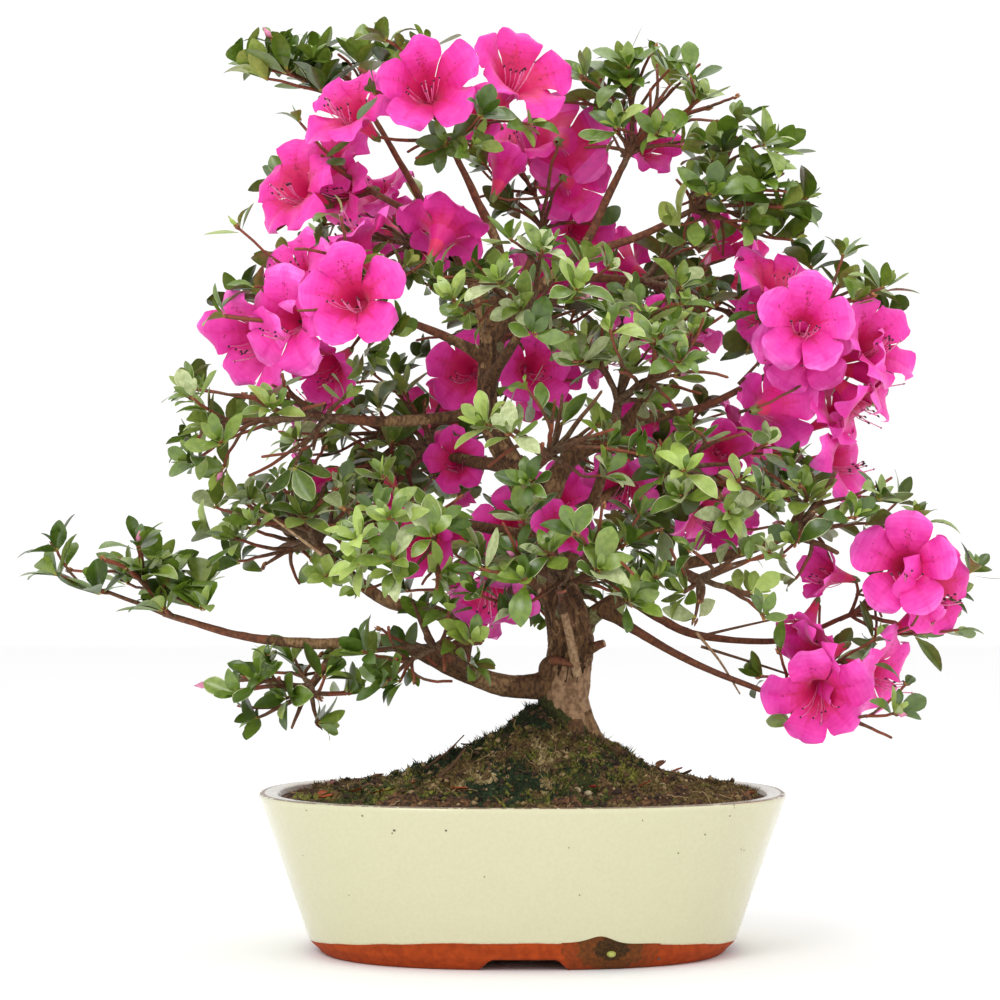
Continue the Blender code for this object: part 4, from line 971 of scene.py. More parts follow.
def reach_for(target, twigs, space, tip, aim=None, must=False):
    """A new twig to the target from the fork that makes the shortest, straightest way, or None."""
    choices = []
    for twig in twigs:
        for t in FORK_PLACES:
            line = target - twig.at(t)
            if line.length < TWIG_SHORTEST:
                continue
            turn = twig.heading(t).angle(line)
            cost = line.length + PATH_WEIGHT * (twig.before + twig.length * t) + TURN_WEIGHT * turn ** 2
            choices.append((cost, len(choices), twig, t))
    choices.sort(key=lambda choice: choice[:2])
    first = None
    for _, _, twig, t in choices[:FORKS_TRIED]:
        place = twig.at(t)
        line = target - place
        pull = place + (twig.heading(t) * SWING + line.normalized() * (1 - SWING)) * line.length * 0.5
        if aim:
            pull = pull.lerp(target - aim * line.length * AIM_PULL, 0.5)
        root = max(twig.radius(t) * FORK_SHARE, tip)
        new = Twig(place, pull, target, root, tip, twig.before + twig.length * t)
        first = first or new
        spots = new.points(CLEAR_STEPS)
        if not all(space.holds(spot, TWIG_MARGIN) for spot in spots[1:]):
            continue
        if all(space.clear(a, b, root) for a, b in zip(spots[:-1], spots[1:])):
            return new
    return first if must else None


def seed_of(name):
    """The words that start a mass's random draws, as for its solid."""
    return name.replace("_", " ").replace("flower", "flowers")


def grow(name, space):
    """A mass's twigs: those of the showing blooms, shoots as in its solid, then finer shoots between them."""
    mass = MASSES[name]
    rng = random.Random(seed_of(name))
    twigs, leafy, blooms, throats = [stem_of(mass)], [], [], []
    for x, y, z, bearing, rise, size, opened, pale in BLOOMS.get(name, ()):
        way = facing(bearing, rise)
        throat = Vector((x, y, z))
        throats.append(throat)
        twigs.append(reach_for(throat - way * BLOOM_TUBE * size, twigs, space, FINE_TIP, way, must=True))
        blooms.append((twigs[-1], way, size, opened, pale))
    for x, y, z, bearing, rise, size in SHOOTS.get(name, ()):
        way = facing(bearing, rise)
        twigs.append(reach_for(Vector((x, y, z)), twigs, space, FINE_TIP, way, must=True))
        leafy.append((twigs[-1], way, size))
    volume = 4.0 / 3.0 * math.pi * space.reach.x * space.reach.y * space.reach.z
    finer = round(volume / ROSETTE_ROOM * mass.density)
    taken = [twig.end for twig in twigs]
    for tip, wanted, wild, room, clear in (
            (TWIG_TIP, mass.shoots, mass.wild, LEAF_ROOM, SHOOT_CLEAR_OF_BLOOM),
            (FINE_TIP, finer, mass.more, FINE_ROOM, FINE_CLEAR_OF_BLOOM)):
        left = wanted + wild
        for _ in range(left * TRIES_A_SHOOT):
            if not left:
                break
            target = spare_point(rng, space, taken, throats, room, clear)
            twig = target and reach_for(target, twigs, space, tip)
            if not twig:
                continue
            left -= 1
            twigs.append(twig)
            taken.append(target)
            way = (twig.heading(1.0) + (target - space.centre).normalized() * OUTWARD).normalized()
            if wild and space.holds(target + way * BLOOM_TUBE * BLOOM_ROOM, TWIG_MARGIN):
                wild -= 1
                size = rng.uniform(*WILD_SIZES)
                blooms.append((twig, way, size, 1.0, 0))
                throats.append(target + way * BLOOM_TUBE * size)
            else:
                leafy.append((twig, way, 1.0))
    return twigs, leafy, blooms


def from_axis(spot, centre, way):
    """How far a spot lies ahead of a bloom's rim, and how far it lies off the bloom's axis."""
    offset = spot - centre
    ahead = offset.dot(way)
    return ahead, (offset - way * ahead).length


def crosses_petals(twig, blooms):
    """Whether a twig passes through the petals of an open bloom."""
    for centre, way, size in blooms:
        for spot in twig.points(PETAL_CHECKS)[1:]:
            ahead, wide = from_axis(spot, centre, way)
            if PETAL_BAND[0] < ahead < PETAL_BAND[1] and wide < BLOOM_WIDE * size:
                return True
    return False


def through_petals(twigs, leafy, blooms):
    """The leafy shoots that would cross the petals of an open bloom and bear no other twig."""
    starts = [twig.start for twig in twigs]
    found = set()
    for twig, _, _ in leafy:
        bears = any((twig.at(t) - start).length < SAME_PLACE for t in FORK_PLACES for start in starts)
        if not bears and crosses_petals(twig, blooms):
            found.add(id(twig))
    return found


def leaf_fits(base, along, length, space, blooms):
    """Whether a leaf keeps to its mass's space, clear of the limbs and of open blooms."""
    tip = base + along * length
    middle = base + along * length * LEAF_MIDDLE
    if not space.holds(tip, proud=LEAF_PROUD) or not space.holds(middle, proud=LEAF_PROUD):
        return False
    if not space.clear(middle, tip, LEAF_HALF):
        return False
    for centre, way, size in blooms:
        for spot in (middle, tip):
            ahead, wide = from_axis(spot, centre, way)
            if -BLOOM_BACK < ahead < BLOOM_AHEAD and wide < BLOOM_WIDE * size:
                return False
    return True


def shoot_leaves(rng, mass, twig, way, size):
    """One shoot's leaves in turn: the rosette at its end in three rings, then a few along the twig."""
    edged = EDGED_SHARES[mass.tone]
    axis = (way + Vector((0.0, 0.0, ROSETTE_RISE))).normalized()
    side, up = across(axis)
    turn = rng.random() * 2.0 * math.pi
    family = rng.choice(TONES[mass.tone])
    for counts, leans, lengths, sink, young in ROSETTE_RINGS:
        for _ in range(rng.randint(*counts)):
            turn += GOLDEN_TURN + rng.uniform(-TURN_SPREAD, TURN_SPREAD)
            lean = math.radians(rng.uniform(*leans))
            out = side * math.cos(turn) + up * math.sin(turn)
            along = (axis * math.cos(lean) + out * math.sin(lean)).normalized()
            along = (along - Vector((0.0, 0.0, rng.uniform(*LEAF_DROOPS)))).normalized()
            normal = axis * math.sin(lean) - out * math.cos(lean)
            tone = rng.choice(YOUNG if young and rng.random() < young else family)
            length = rng.uniform(*lengths) * mass.size * size
            kind = int(rng.random() < edged and not young)
            yield twig.end - axis * sink + along * LEAF_STALK, along, normal, length, kind, tone
    for _ in range(rng.randint(*TWIG_LEAVES)):
        t = rng.uniform(*TWIG_LEAF_PLACES)
        ahead = twig.heading(t)
        side, up = across(ahead)
        turn = rng.random() * 2.0 * math.pi
        out = side * math.cos(turn) + up * math.sin(turn) + Vector((0.0, 0.0, 0.4))
        along = (ahead * 0.7 + out).normalized()
        normal = (Vector((0.0, 0.0, 1.0)) - along * along.z + out * 0.2).normalized()
        length = rng.uniform(*TWIG_LEAF_LENGTHS) * mass.size * size
        kind = int(rng.random() < edged)
        yield twig.at(t), along, normal, length, kind, rng.choice(family)


def leaves_of(rng, name, leafy, space, blooms, dropped):
    """The leaves that a mass's shoots bear, each with its own curl, fold and width."""
    placed = len(SHOOTS.get(name, ()))
    found = []
    for k, (twig, way, size) in enumerate(leafy):
        if k >= placed and rng.random() < BARE_SHARE:
            continue
        for leaf in shoot_leaves(rng, MASSES[name], twig, way, size):
            base, along, _, length, _, _ = leaf
            if id(twig) not in dropped and leaf_fits(base, along, length, space, blooms):
                own = tuple(rng.uniform(*span) for span in (LEAF_CURLS, LEAF_FOLDS, LEAF_WIDTHS))
                found.append(leaf + own)
    return found


def add_leaves(batch, found):
    """Puts leaves into a batch as folded, curled blades with a midrib, the pale-edged ones with a margin that
    is partly pale hairs and partly a painted glint of light.
    """
    for kind, columns in enumerate((PLAIN_COLUMNS, EDGED_COLUMNS)):
        rows = [row for row in found if row[4] == kind]
        if not rows:
            continue
        base, along, normal, length, _, tone, curl, fold, width = (np.array(values) for values in zip(*rows))
        normal = normal - along * (normal * along).sum(1, keepdims=True)
        normal /= np.linalg.norm(normal, axis=1, keepdims=True)
        side = np.cross(along, normal)
        t, u = LEAF_ROWS, np.array(columns)
        shape = np.where((np.arange(len(rows)) % 2 == 0)[:, None], ELLIPTIC, OBOVATE)
        bend = curl[:, None] * t ** 2
        forth = length[:, None] * (t - bend ** 2 * t / 3.0)
        lift = -length[:, None] * bend * t
        half = length[:, None] * shape * width[:, None]
        x = half[:, :, None] * u
        z = lift[:, :, None] + np.abs(x) * fold[:, None, None] * (1.3 - 0.5 * np.abs(u))
        z = z - (np.abs(u) > 0.9) * half[:, :, None] * 0.05
        points = (base[:, None, None] + along[:, None, None] * forth[:, :, None, None]
                  + side[:, None, None] * x[..., None] + normal[:, None, None] * z[..., None])
        quads = grid(len(t), len(u))
        per = len(t) * len(u)
        faces = (quads[None] + (np.arange(len(rows)) * per)[:, None, None]).reshape(-1, 4)
        slots = np.repeat(tone, len(quads)).reshape(len(rows), len(t) - 1, len(u) - 1)
        slots[:, 0] = LEAF_SLOTS["foot"]
        # the margin columns carry the pale hairs' colour and a painted glint of light on them
        if kind:
            slots[:, 1:, 0] = slots[:, 1:, -1] = LEAF_SLOTS["margin"]
        batch.add(points, faces, slots.ravel())


def petal_points(u, v, middle, opened, form):
    """Points of a lobe in its bloom's frame, u across it and v from the tube's foot to the rim.

    The form is the lobe's tilt, its swell, the phase of its ripples and the side that laps over.
    """
    tilt, swell, phase, lap = form
    radius, level, half = (np.interp(v, PROFILE_STEPS, row) for row in PROFILES)
    half = half * swell
    free = smooth_step((v - FREE_FROM) / FREE_RUN)
    turn = middle + u * math.radians(LOBE_HALF_TURN)
    tip = np.clip((v - TIP_FROM) / TIP_RUN, 0.0, 1.0)
    out = radius * (1.0 + (swell - 1.0) * free) - CORNERS_BACK * u ** 2 * tip ** 1.3
    out = out - TIP_NOTCH * np.exp(-(u / 0.2) ** 2) * tip ** 4
    flat_x = out * math.cos(middle) - u * half * math.sin(middle)
    flat_y = out * math.sin(middle) + u * half * math.cos(middle)
    x = radius * np.cos(turn) * (1.0 - free) + flat_x * free
    y = radius * np.sin(turn) * (1.0 - free) + flat_y * free
    edge = u ** 2 * np.sin(15.0 * v + phase + 1.5 * np.sign(u)) * EDGE_RIPPLE
    ripple = np.sin(3.2 * u + phase) * LOBE_RIPPLE * tip + edge
    crease = CREASE * (1.0 - np.exp(-(u / 0.25) ** 2))
    level = level + free * (lap * u * LAP + ripple - EDGE_DROOP * u ** 2 * tip + crease)
    level = level + free * tilt * (radius - 8.0)
    bud_turn = middle + u * np.radians(LOBE_HALF_TURN + 14.0 * v) + 1.1 * v
    bud_radius = np.interp(v, BLOOM_V, BUD_R) * (1.0 + 0.06 * u * v)
    bud_level = np.interp(v, BLOOM_V, BUD_Z)
    shut = np.stack((bud_radius * np.cos(bud_turn), bud_radius * np.sin(bud_turn), bud_level), -1)
    return shut * (1.0 - opened) + np.stack((x, y, level), -1) * opened


def petal_looks():
    """The petals' colours in fine even steps from the throat to the rim, then those of single marks."""
    steps, colours = zip(*PETAL_KEYS)
    even = np.linspace(steps[0], steps[-1], PETAL_STEPS)
    mixed = np.column_stack([np.interp(even, steps, channel) for channel in zip(*colours)])
    fine = [Look(f"step_{k}", tuple(colour), 0.5, tuple(colour + PETAL_LIGHTER), *PETAL_GRAIN)
            for k, colour in enumerate(mixed)]
    return fine + list(PETALS_MORE)


def petal_slots(v, u, shade, pale, tone):
    """The place of each petal face's colour, in fine steps from the throat to the rim."""
    vein = np.exp(-(u / 0.12) ** 2) * (v < 0.9)
    share = v + shade * 0.012 + 0.04 * np.abs(u) * (v > 0.6) - 0.09 * vein + tone
    even = (share - PETAL_KEYS[0][0]) / (PETAL_KEYS[-1][0] - PETAL_KEYS[0][0])
    slots = np.clip(np.round(even * (PETAL_STEPS - 1)), 0, PETAL_STEPS - 1).astype(int)
    # pale: the outer petals take paler colours, partly painted light shining through them
    if pale:
        slots = np.where(v > PALE_FROM, BLOOM_SLOTS["pale"], slots)
        slots = np.where(v > PALE_RIM_FROM, BLOOM_SLOTS["pale_rim"], slots)
    return slots


class Bloom:
    """Where one bloom sits on its twig, which way it faces, its size and how far it is open."""

    def __init__(self, rng, base, way, size, opened):
        tilt = (rng.uniform(-UP_SPREAD, UP_SPREAD), rng.uniform(-UP_SPREAD, UP_SPREAD), 0.0)
        world_up = Vector((0.0, 0.0, 1.0)) + Vector(tilt)
        if abs(way.z) > STEEP:
            world_up = Vector((0.2, 1.0, 0.0)) * (1.0 if way.z < 0 else -1.0) + Vector((0.0, 0.0, 0.2))
        up = (world_up - way * world_up.dot(way)).normalized()
        self.axes = np.array((up.cross(way).normalized(), up, way))
        self.base = np.array(base)
        self.size, self.opened = size, opened

    def place(self, local):
        return self.base + (np.asarray(local).reshape(-1, 3) * self.size) @ self.axes


def add_lobes(batch, bloom, rng, draw, pale):
    """Five lobes on the funnel, the upper three speckled towards the throat."""
    v, u = np.meshgrid(LOBE_ROWS, LOBE_COLUMNS, indexing="ij")
    quads = grid(len(LOBE_ROWS), len(LOBE_COLUMNS))
    centre_v, centre_u = (values.ravel()[quads].mean(1) for values in (v, u))
    flare, tone = rng.uniform(*FLARES), rng.uniform(*BLOOM_TONES)
    for lobe, degrees in enumerate(LOBES):
        middle = math.radians(degrees + rng.uniform(-LOBE_SPREAD, LOBE_SPREAD))
        form = (flare + rng.uniform(*LOBE_TILTS), rng.uniform(*LOBE_SWELLS), rng.uniform(0.0, 6.3),
                rng.choice((-1.0, 1.0)))
        slots = petal_slots(centre_v, centre_u, draw.uniform(-1, 1, len(quads)), pale, tone)
        batch.add(bloom.place(petal_points(u, v, middle, bloom.opened, form)), quads, slots)
        if lobe < SPECKLED_LOBES and bloom.opened > HALF_OPEN:
            add_speckles(batch, bloom, draw, SPECKLES // (4 if lobe else 1), middle, form)


def add_speckles(batch, bloom, draw, spots, middle, form):
    """Small dark lozenges a hair off the upper side of a lobe."""
    spot_v = 0.44 + 0.3 * draw.random(spots) ** 1.3
    spot_u = draw.normal(0.0, 0.2, spots).clip(-0.5, 0.5)
    half_v, half_u = draw.uniform(0.006, 0.013, spots), draw.uniform(0.02, 0.045, spots)
    corners = np.stack([petal_points(spot_u + a * half_u, spot_v + b * half_v, middle, bloom.opened, form)
                        for a, b in ((-1, 0), (0, -1), (1, 0), (0, 1))], 1)
    corners[..., 2] += SPECKLE_PROUD
    batch.add(bloom.place(corners), np.arange(spots * 4).reshape(-1, 4), BLOOM_SLOTS["speckle"])


def add_tube(batch, bloom):
    """The outside of the tube, and the small disc that closes it inside."""
    v, u = np.meshgrid(TUBE_ROWS, np.arange(TUBE_SIDES) / (TUBE_SIDES / 2) - 1.0, indexing="ij")
    outside = petal_points(u * 0.0, v, 0.0, bloom.opened, (0.0, 1.0, 0.0, 1.0))
    wide = np.hypot(outside[..., 0], outside[..., 1]) + TUBE_PROUD
    outside = np.stack((wide * np.cos(u * math.pi), wide * np.sin(u * math.pi), outside[..., 2]), -1)
    tube = grid(len(TUBE_ROWS), TUBE_SIDES, wrap=True)
    plain = np.arange(len(tube)) < TUBE_SIDES * TUBE_PLAIN_ROWS
    batch.add(bloom.place(outside), tube, np.where(plain, BLOOM_SLOTS["tube"], TUBE_TONE))
    radius, rim, middle = STOP
    ring = round_turns(STOP_SIDES)
    stop = np.column_stack((radius * np.cos(ring), radius * np.sin(ring), np.full(STOP_SIDES, rim)))
    faces = [(k, (k + 1) % STOP_SIDES, STOP_SIDES) for k in range(STOP_SIDES)]
    batch.add(bloom.place(np.concatenate((stop, [(0.0, 0.0, middle)]))), faces, 0)


def add_stamens(parts, bloom, rng):
    """The pistil and the stamens, which bend down and up again out of the throat."""
    for k in range(rng.randint(*STAMENS) + 1):
        spread = rng.uniform(-1.0, 1.0)
        fall = -7.0 + abs(spread) * 3.0 + rng.uniform(-3.0, 3.0)
        end = Vector((spread * 11.0, fall, 33.0 + rng.uniform(-4.0, 4.0)))
        if k == 0:
            end = Vector((spread * 3.0, -8.0, 42.0))
        thick, reach, stalk, head = STAMEN if k else PISTIL
        pull = Vector((end.x * 0.4, end.y * 1.25 - 1.5, 22.0))
        start = Vector((end.x * 0.08, -1.0, 6.0))
        path = [bent(start, pull, end, t) + Vector((0, 2.2 * t ** 4, 0)) for t in (0.0, 0.25, 0.5, 0.75, 1.0)]
        points, faces = bar(path, [thick] * len(path), 3)
        parts.add(bloom.place(points), faces, PART_SLOTS[stalk])
        reach = [r * bloom.size for r in reach]
        add_grain(parts, bloom.place(path[-1])[0], reach, bloom.axes, PART_SLOTS[head])


def add_calyx(parts, bloom):
    """Five pointed sepals and the small cup on which they stand."""
    for k in range(SEPALS):
        middle = 2.0 * math.pi * k / SEPALS + 0.4
        sepal = [(2.6 * math.cos(middle + a), 2.6 * math.sin(middle + a), -1.5) for a in (-0.6, 0.6)]
        sepal.append((3.4 * math.cos(middle), 3.4 * math.sin(middle), 5.5))
        parts.add(bloom.place(sepal), [(0, 1, 2)], PART_SLOTS["sepal"])
    rings = [[(r * math.cos(a), r * math.sin(a), z) for a in round_turns(CUP_SIDES)] for r, z in CUP]
    parts.add(bloom.place(rings), grid(len(CUP), CUP_SIDES, wrap=True), PART_SLOTS["sepal"])


def add_bloom(batch, parts, twig_end, way, size, opened, pale, seed):
    """One bloom: lobes and tube in the petals' batch; stamens, pistil and calyx in that of small parts."""
    rng = random.Random(seed)
    draw = np.random.default_rng(rng.randrange(10 ** 6))
    bloom = Bloom(rng, twig_end, way, size, opened)
    add_lobes(batch, bloom, rng, draw, pale)
    add_tube(batch, bloom)
    if opened > HALF_OPEN:
        add_stamens(parts, bloom, rng)
    add_calyx(parts, bloom)


def add_grain(batch, centre, reach, axes, slot):
    """A small eight-faced grain, such as an anther, a bud scale or a crumb."""
    corners = np.array(((1, 0, 0), (0, 1, 0), (-1, 0, 0), (0, -1, 0), (0, 0, 1), (0, 0, -1))) * reach
    faces = [(0, 1, 4), (1, 2, 4), (2, 3, 4), (3, 0, 4), (1, 0, 5), (2, 1, 5), (3, 2, 5), (0, 3, 5)]
    batch.add(centre + corners @ axes, faces, slot)


def add_bud(batch, rng, end, way, pink):
    """A cluster of bud scales at a shoot's end, with the tip of a bloom bud where it is pink."""
    side, up = across(way)
    axes = frame_of(way)
    for _ in range(rng.randint(3, 5)):
        off = side * rng.uniform(-1.2, 1.2) + up * rng.uniform(-1.2, 1.2) + way * rng.uniform(0.0, 2.5)
        slot = PART_SLOTS["scale" if rng.random() < 0.6 else "scale_dark"]
        add_grain(batch, np.array(end + off), (0.9, 0.9, rng.uniform(1.6, 3.0)), axes, slot)
    if pink:
        add_grain(batch, np.array(end + way * 5.0), (2.0, 2.0, 5.0), axes, PART_SLOTS["pistil"])


def add_twig(batch, rng, twig):
    """A twig as a slightly crooked tapering bar, younger and greener towards its tip."""
    steps = TWIG_RINGS if twig.length > TWIG_LONG else TWIG_RINGS - 2
    path = twig.points(steps)
    path[0] -= twig.heading(0.0) * min(twig.root, 1.0)
    crook = twig.length * TWIG_CROOK
    for i in range(1, steps):
        path[i] += Vector([rng.uniform(-crook, crook) for _ in range(3)])
    root, tip = max(twig.root * TWIG_SLIM, FINE_TIP), max(twig.tip * TWIG_SLIM, FINE_TIP * 0.85)
    points, faces = bar(path, taper(root, tip, steps + 1), TWIG_SIDES)
    row = np.minimum(np.arange(len(faces)) // TWIG_SIDES, steps - 1) / steps
    near, beyond = ("old", "brown") if root > OLD_TWIG else ("brown", "young")
    slots = np.where(row < 0.45, TWIG_SLOTS[near], TWIG_SLOTS[beyond])
    slots = np.where((row > 0.82) & (tip < 0.8), TWIG_SLOTS["green"], slots)
    batch.add(points, faces, slots)


def make_crown():
    """Every mass grown again: leaves by group, twigs, blooms and small parts, each kind joined apart."""
    bars = limb_bars()
    spaces = {name: Space(name, bars) for name in MASSES}
    grown = {name: grow(name, space) for name, space in spaces.items()}
    throats = [(twig.end + way * BLOOM_TUBE * size, way, size)
               for _, _, blooms in grown.values() for twig, way, size, opened, _ in blooms
               if opened > HALF_OPEN]
    leaves, nodes = {}, {}
    petals = {"left": Batch(), "right": Batch()}
    parts, fine_twigs = Batch(), Batch()
    rng_twigs = random.Random("crook of the twigs")
    for name, mass in MASSES.items():
        rng = random.Random(seed_of(name) + " leaves")
        twigs, leafy, blooms = grown[name]
        reach = max(mass.reach) + THROATS_NEAR
        near = [row for row in throats if (row[0] - spaces[name].centre).length < reach]
        dropped = through_petals(twigs, leafy, near)
        found = leaves_of(rng, name, leafy, spaces[name], near, dropped)
        add_leaves(leaves.setdefault(mass.group, Batch()), found)
        nodes.setdefault(mass.group, []).append(name + "_foliage")
        for twig in twigs:
            if id(twig) not in dropped:
                add_twig(fine_twigs, rng_twigs, twig)
        for k, (twig, way, size, opened, pale) in enumerate(blooms):
            half = petals["left" if twig.end.x < PETALS_APART else "right"]
            add_bloom(half, parts, twig.end, way, size, opened, pale, seed_of(name) + str(k))
        for twig, way, _ in leafy:
            if rng.random() < BUD_SHARE and id(twig) not in dropped:
                add_bud(parts, rng, twig.end, way, rng.random() < PINK_BUDS)
    for root, tip, slot, points in STICKS:
        path = smooth_path(points, 5)
        points, faces = bar(path, taper(root, tip, len(path)), 6)
        fine_twigs.add(points, faces, TWIG_SLOTS[slot])
    leaf_materials = materials_of("leaf", LEAVES)
    petal_materials = materials_of("petal", petal_looks())
    for group, batch in leaves.items():
        finish_piece(batch.make("leaves_" + group, leaf_materials), nodes[group])
    for side, batch in petals.items():
        finish_piece(batch.make("petals_" + side, petal_materials))
    finish_piece(parts.make("stamens_and_scales", materials_of("bloom", BLOOM_PARTS)))
    finish_piece(fine_twigs.make("fine_twigs", materials_of("twig", TWIGS)))


def bark_slots(middles, height, thick, seed, trunk):
    """Which of the bark's colours a place takes; on the trunk they follow the fissures, darkened with painted
    shade, and the foot.
    """
    spot = noise(middles, 2.2, seed + 3)
    wide = noise(middles, 14.0, seed + 5)
    slots = np.full(len(middles), BARK_SLOTS["brown"])
    if trunk:
        slots[height + 0.1 * spot > 0.9] = BARK_SLOTS["tan"]
        # painted shade: the sunk fissures of the trunk take the darkest bark colour
        slots[height + 0.1 * spot < 0.56] = BARK_SLOTS["shaded_furrow"]
    slots[wide > 0.42] = BARK_SLOTS["tan"]
    slots[wide < -0.55] = BARK_SLOTS["lichen"]
    slots[thick + wide * 0.3 < YOUNG_LIMB] = BARK_SLOTS["young"]
    if trunk:
        x, z = middles[:, 0], middles[:, 2]
        slots[(z < 158.0 + spot * 5.0) & ((height > 0.4) | (z < 148.0))] = BARK_SLOTS["pink"]
        slots[(z < 124.0 + wide * 8.0) & (spot > -0.1)] = BARK_SLOTS["lichen"]
        slots[z < 140.0 - 0.64 * (x - 22.0) + wide * 5.0 + spot * 2.5] = BARK_SLOTS["moss"]
    return slots


def bark_limb(batch, path, radii, sides, seed, trunk=False):
    """A limb with fissured bark; the relief runs along it, and its colours follow the relief, with painted
    shade in the trunk's fissures.
    """
    centres, ways = around(path, sides)
    radii = np.asarray(radii, float)
    turn = round_turns(sides)
    along = np.concatenate(([0.0], np.cumsum(np.linalg.norm(np.diff(centres, axis=0), axis=1))))
    spots = np.stack((np.cos(turn)[None] * radii[:, None], np.sin(turn)[None] * radii[:, None],
                      np.broadcast_to(along[:, None] * BARK_STRETCH, (len(path), sides))), -1).reshape(-1, 3)
    thick = np.repeat(radii, sides)
    ridge = 1.0 - np.abs(fractal(spots, 3.4, seed, 3))
    lump = fractal(spots, 9.0, seed + 9, 2)
    depth = np.clip(thick * BARK_DEPTH, BARK_LEAST, BARK_MOST)
    relief = (ridge - 0.75) * depth * 1.5 + lump * depth * 0.9
    if trunk:
        relief *= np.repeat(0.4 + 0.6 * smooth_step((centres[:, 2] - 124.0) / 40.0), sides)
    points = (centres[:, None] + ways * (thick + relief).reshape(len(path), sides, 1)).reshape(-1, 3)
    faces = grid(len(path), sides, wrap=True)
    slots = bark_slots(points[faces].mean(1), ridge[faces].mean(1), thick[faces[:, 0]], seed, trunk)
    batch.add(np.concatenate((points, [centres[-1]])), np.concatenate((faces, end_cap(len(path), sides))),
              np.concatenate((slots, np.full(sides, BARK_SLOTS["cut"]))))


def make_limbs():
    """Trunk and boughs with bark; a bough starts in a collar on the limb that bears it."""
    barks = materials_of("bark", BARKS)
    trunk = Batch()
    path = smooth_path(TRUNK_LINE, TRUNK_STEPS_FINE)
    radii = np.interp([p.z for p in path], TRUNK_LEVELS, TRUNK_RADII)
    bark_limb(trunk, path, radii, TRUNK_SIDES, 51, trunk=True)
    for i, (root, tip, points) in enumerate(STUBS):
        path = smooth_path(points, STUB_STEPS)
        bark_limb(trunk, path, taper(root, tip, len(path)), STUB_SIDES, 60 + i)
    finish_piece(trunk.make("trunk_bark", barks), ["trunk"])
    boughs = Batch()
    nodes = []
    for i, (name, limb) in enumerate(LIMBS.items()):
        if name == "trunk":
            continue
        if name not in FUSED_STEMS:
            nodes.append(name + "_bough")
        rough = smooth_path(limb.points, 4)
        length = sum((b - a).length for a, b in zip(rough, rough[1:]))
        steps = max(4, round(length / BARK_RING / (len(limb.points) - 1)))
        path = smooth_path(limb.points, steps)
        path.append(path[-1] + (path[-1] - path[-2]).normalized() * STEM_SINK)
        radii = np.array(taper(limb.root, limb.tip, len(path)))
        radii *= 1.0 - LIMB_THINNING.get(name, 0.0) * np.linspace(0.0, 1.0, len(path)) ** THINNING_POWER
        far = np.arange(len(path)) * BARK_RING
        radii += limb.root * COLLAR * np.exp(-(far / (limb.root + COLLAR_REACH)) ** 2)
        bark_limb(boughs, path, radii, BOUGH_SIDES[limb.root > THICK_BOUGH], 80 + i)
    finish_piece(boughs.make("bough_bark", barks), nodes)


def oval_plan(turn, half_width):
    """Points of the pot's plan at given angles, as two columns."""
    c, s = np.cos(turn), np.sin(turn)
    x = np.sign(c) * np.abs(c) ** (2.0 / POT_OVAL_POWER) * half_width
    y = np.sign(s) * np.abs(s) ** (2.0 / POT_OVAL_POWER) * (half_width * POT_DEPTH_RATIO)
    return x + POT_CENTRE[0], y + POT_CENTRE[1]


def pot_turns(count):
    """Angles that divide the pot's plan about evenly along its edge."""
    fine = np.linspace(0.0, 2.0 * math.pi, 7201)
    x, y = oval_plan(fine, RIM_HALF_WIDTH)
    length = np.concatenate(([0.0], np.cumsum(np.hypot(np.diff(x), np.diff(y)))))
    return np.interp(np.linspace(0.0, length[-1], count + 1)[:-1], length, fine)


def wall_at(level):
    """Half the width of the pot's outer wall at a level."""
    return BASE_HALF_WIDTH + (level - BASE_LEVEL) * WALL_SLOPE


def pot_front(x, half_width):
    """The place on the front of the pot's plan that is nearest to x, and its angle."""
    turns = np.linspace(math.pi, 2.0 * math.pi, 2000)
    front_x, front_y = oval_plan(turns, half_width)
    k = int(np.argmin(np.abs(front_x - x)))
    return front_x[k], front_y[k], turns[k]


def glaze_line(turns):
    """The level at which the glaze ends: low at the ends, high at the front and highest over the stain."""
    x, y = oval_plan(turns, RIM_HALF_WIDTH)
    line = GLAZE_LINE_END + (GLAZE_LINE_FRONT - GLAZE_LINE_END) * np.sin(turns) ** 2
    line += noise(np.column_stack((x, y, 0 * x)), 16.0, 3) * 0.35
    line += (y < 0) * np.exp(-((x - STAIN[0] * 1.04) / 9.5) ** 2) * STAIN_RISE
    return line


